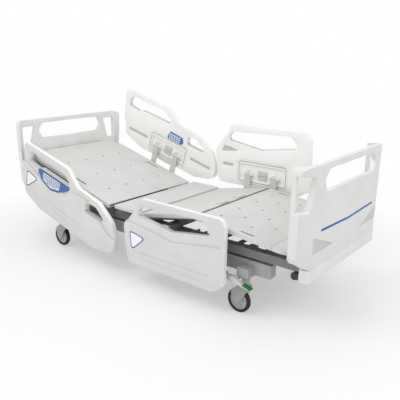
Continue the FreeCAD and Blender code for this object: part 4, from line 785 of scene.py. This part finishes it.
# %% Floor
FLOOR_SPAN = 12
FADE_FROM, FADE_TO = 1.3, 2.6
PAPER = (0.90, 0.90, 0.90, 1)
GLOW_SHARE = 0.40
floor_mesh = bpy.data.meshes.new("floor")
corners = [(x * FLOOR_SPAN, y * FLOOR_SPAN, 0) for x, y in ((-1, -1), (1, -1), (1, 1), (-1, 1))]
floor_mesh.from_pydata(corners, [], [(0, 1, 2, 3)])
floor = link("floor", floor_mesh)
paper = bpy.data.materials.new("white_paper_sweep")
paper.use_nodes = True
tree = paper.node_tree
tree.nodes.clear()
ray = add(tree, "ShaderNodeLightPath").outputs
matt = add(tree, "ShaderNodeBsdfDiffuse", {"Color": PAPER})
glow = add(tree, "ShaderNodeEmission", {"Color": WHITE, "Strength": 1.0})
share = add(tree, "ShaderNodeMath", {0: ray["Is Camera Ray"], 1: GLOW_SHARE}, operation="MULTIPLY")
shadowed = add(tree, "ShaderNodeMixShader", {0: share.outputs[0], 1: matt.outputs[0], 2: glow.outputs[0]})
place = add(tree, "ShaderNodeTexCoord").outputs["Object"]
reach = add(tree, "ShaderNodeVectorMath", {0: place}, operation="LENGTH")
fade = add(tree, "ShaderNodeMapRange",
           {"Value": reach.outputs["Value"], "From Min": FADE_FROM, "From Max": FADE_TO})
fade.interpolation_type = "SMOOTHSTEP"
seen = add(tree, "ShaderNodeMath", {0: ray["Is Camera Ray"], 1: fade.outputs["Result"]},
           operation="MULTIPLY")
mixed = add(tree, "ShaderNodeMixShader", {0: seen.outputs[0], 1: shadowed.outputs[0], 2: glow.outputs[0]})
add(tree, "ShaderNodeOutputMaterial", {"Surface": mixed.outputs[0]})
paint(floor, paper)

# %% Lamps
BED_MIDDLE = (0, 0, 0.4)


def lamp(name, place, size, power):
    """A square soft box that looks at the bed."""
    data = bpy.data.lights.new(name, "AREA")
    data.shape = "SQUARE"
    data.size = size
    data.energy = power
    item = bpy.data.objects.new(name, data)
    bpy.context.scene.collection.objects.link(item)
    item.location = place
    item.rotation_mode = "QUATERNION"
    item.rotation_quaternion = (Vector(BED_MIDDLE) - Vector(place)).to_track_quat("-Z", "Y")
    return item


lamp("key_soft_box", (-0.5, -3.0, 4.5), size=2.4, power=62)
lamp("side_soft_box", (4.2, -0.5, 3.0), size=2.5, power=36)

# %% Camera at the photograph's place
FOCAL_PX = 526.49
IMAGE_PX = 400
SENSOR_MM = 36
YAW, PITCH, ROLL = 0.6682, -0.2851, 0.0182
CAMERA_AT = (2.2638, -2.6666, 1.4738)
forward = Vector((-math.sin(YAW) * math.cos(PITCH), math.cos(YAW) * math.cos(PITCH), math.sin(PITCH)))
level = Vector((math.cos(YAW), math.sin(YAW), 0))
upright = level.cross(forward)
right = math.cos(ROLL) * level + math.sin(ROLL) * upright
up = -math.sin(ROLL) * level + math.cos(ROLL) * upright
camera_data = bpy.data.cameras.new("camera")
camera_data.sensor_width = SENSOR_MM
camera_data.lens = FOCAL_PX * SENSOR_MM / IMAGE_PX
camera_data.clip_end = 100
camera = bpy.data.objects.new("camera", camera_data)
bpy.context.scene.collection.objects.link(camera)
turned = Matrix((right, up, -forward)).transposed().to_4x4()
camera.matrix_world = Matrix.Translation(CAMERA_AT) @ turned
bpy.context.scene.camera = camera
bpy.context.scene.view_settings.view_transform = "Standard"
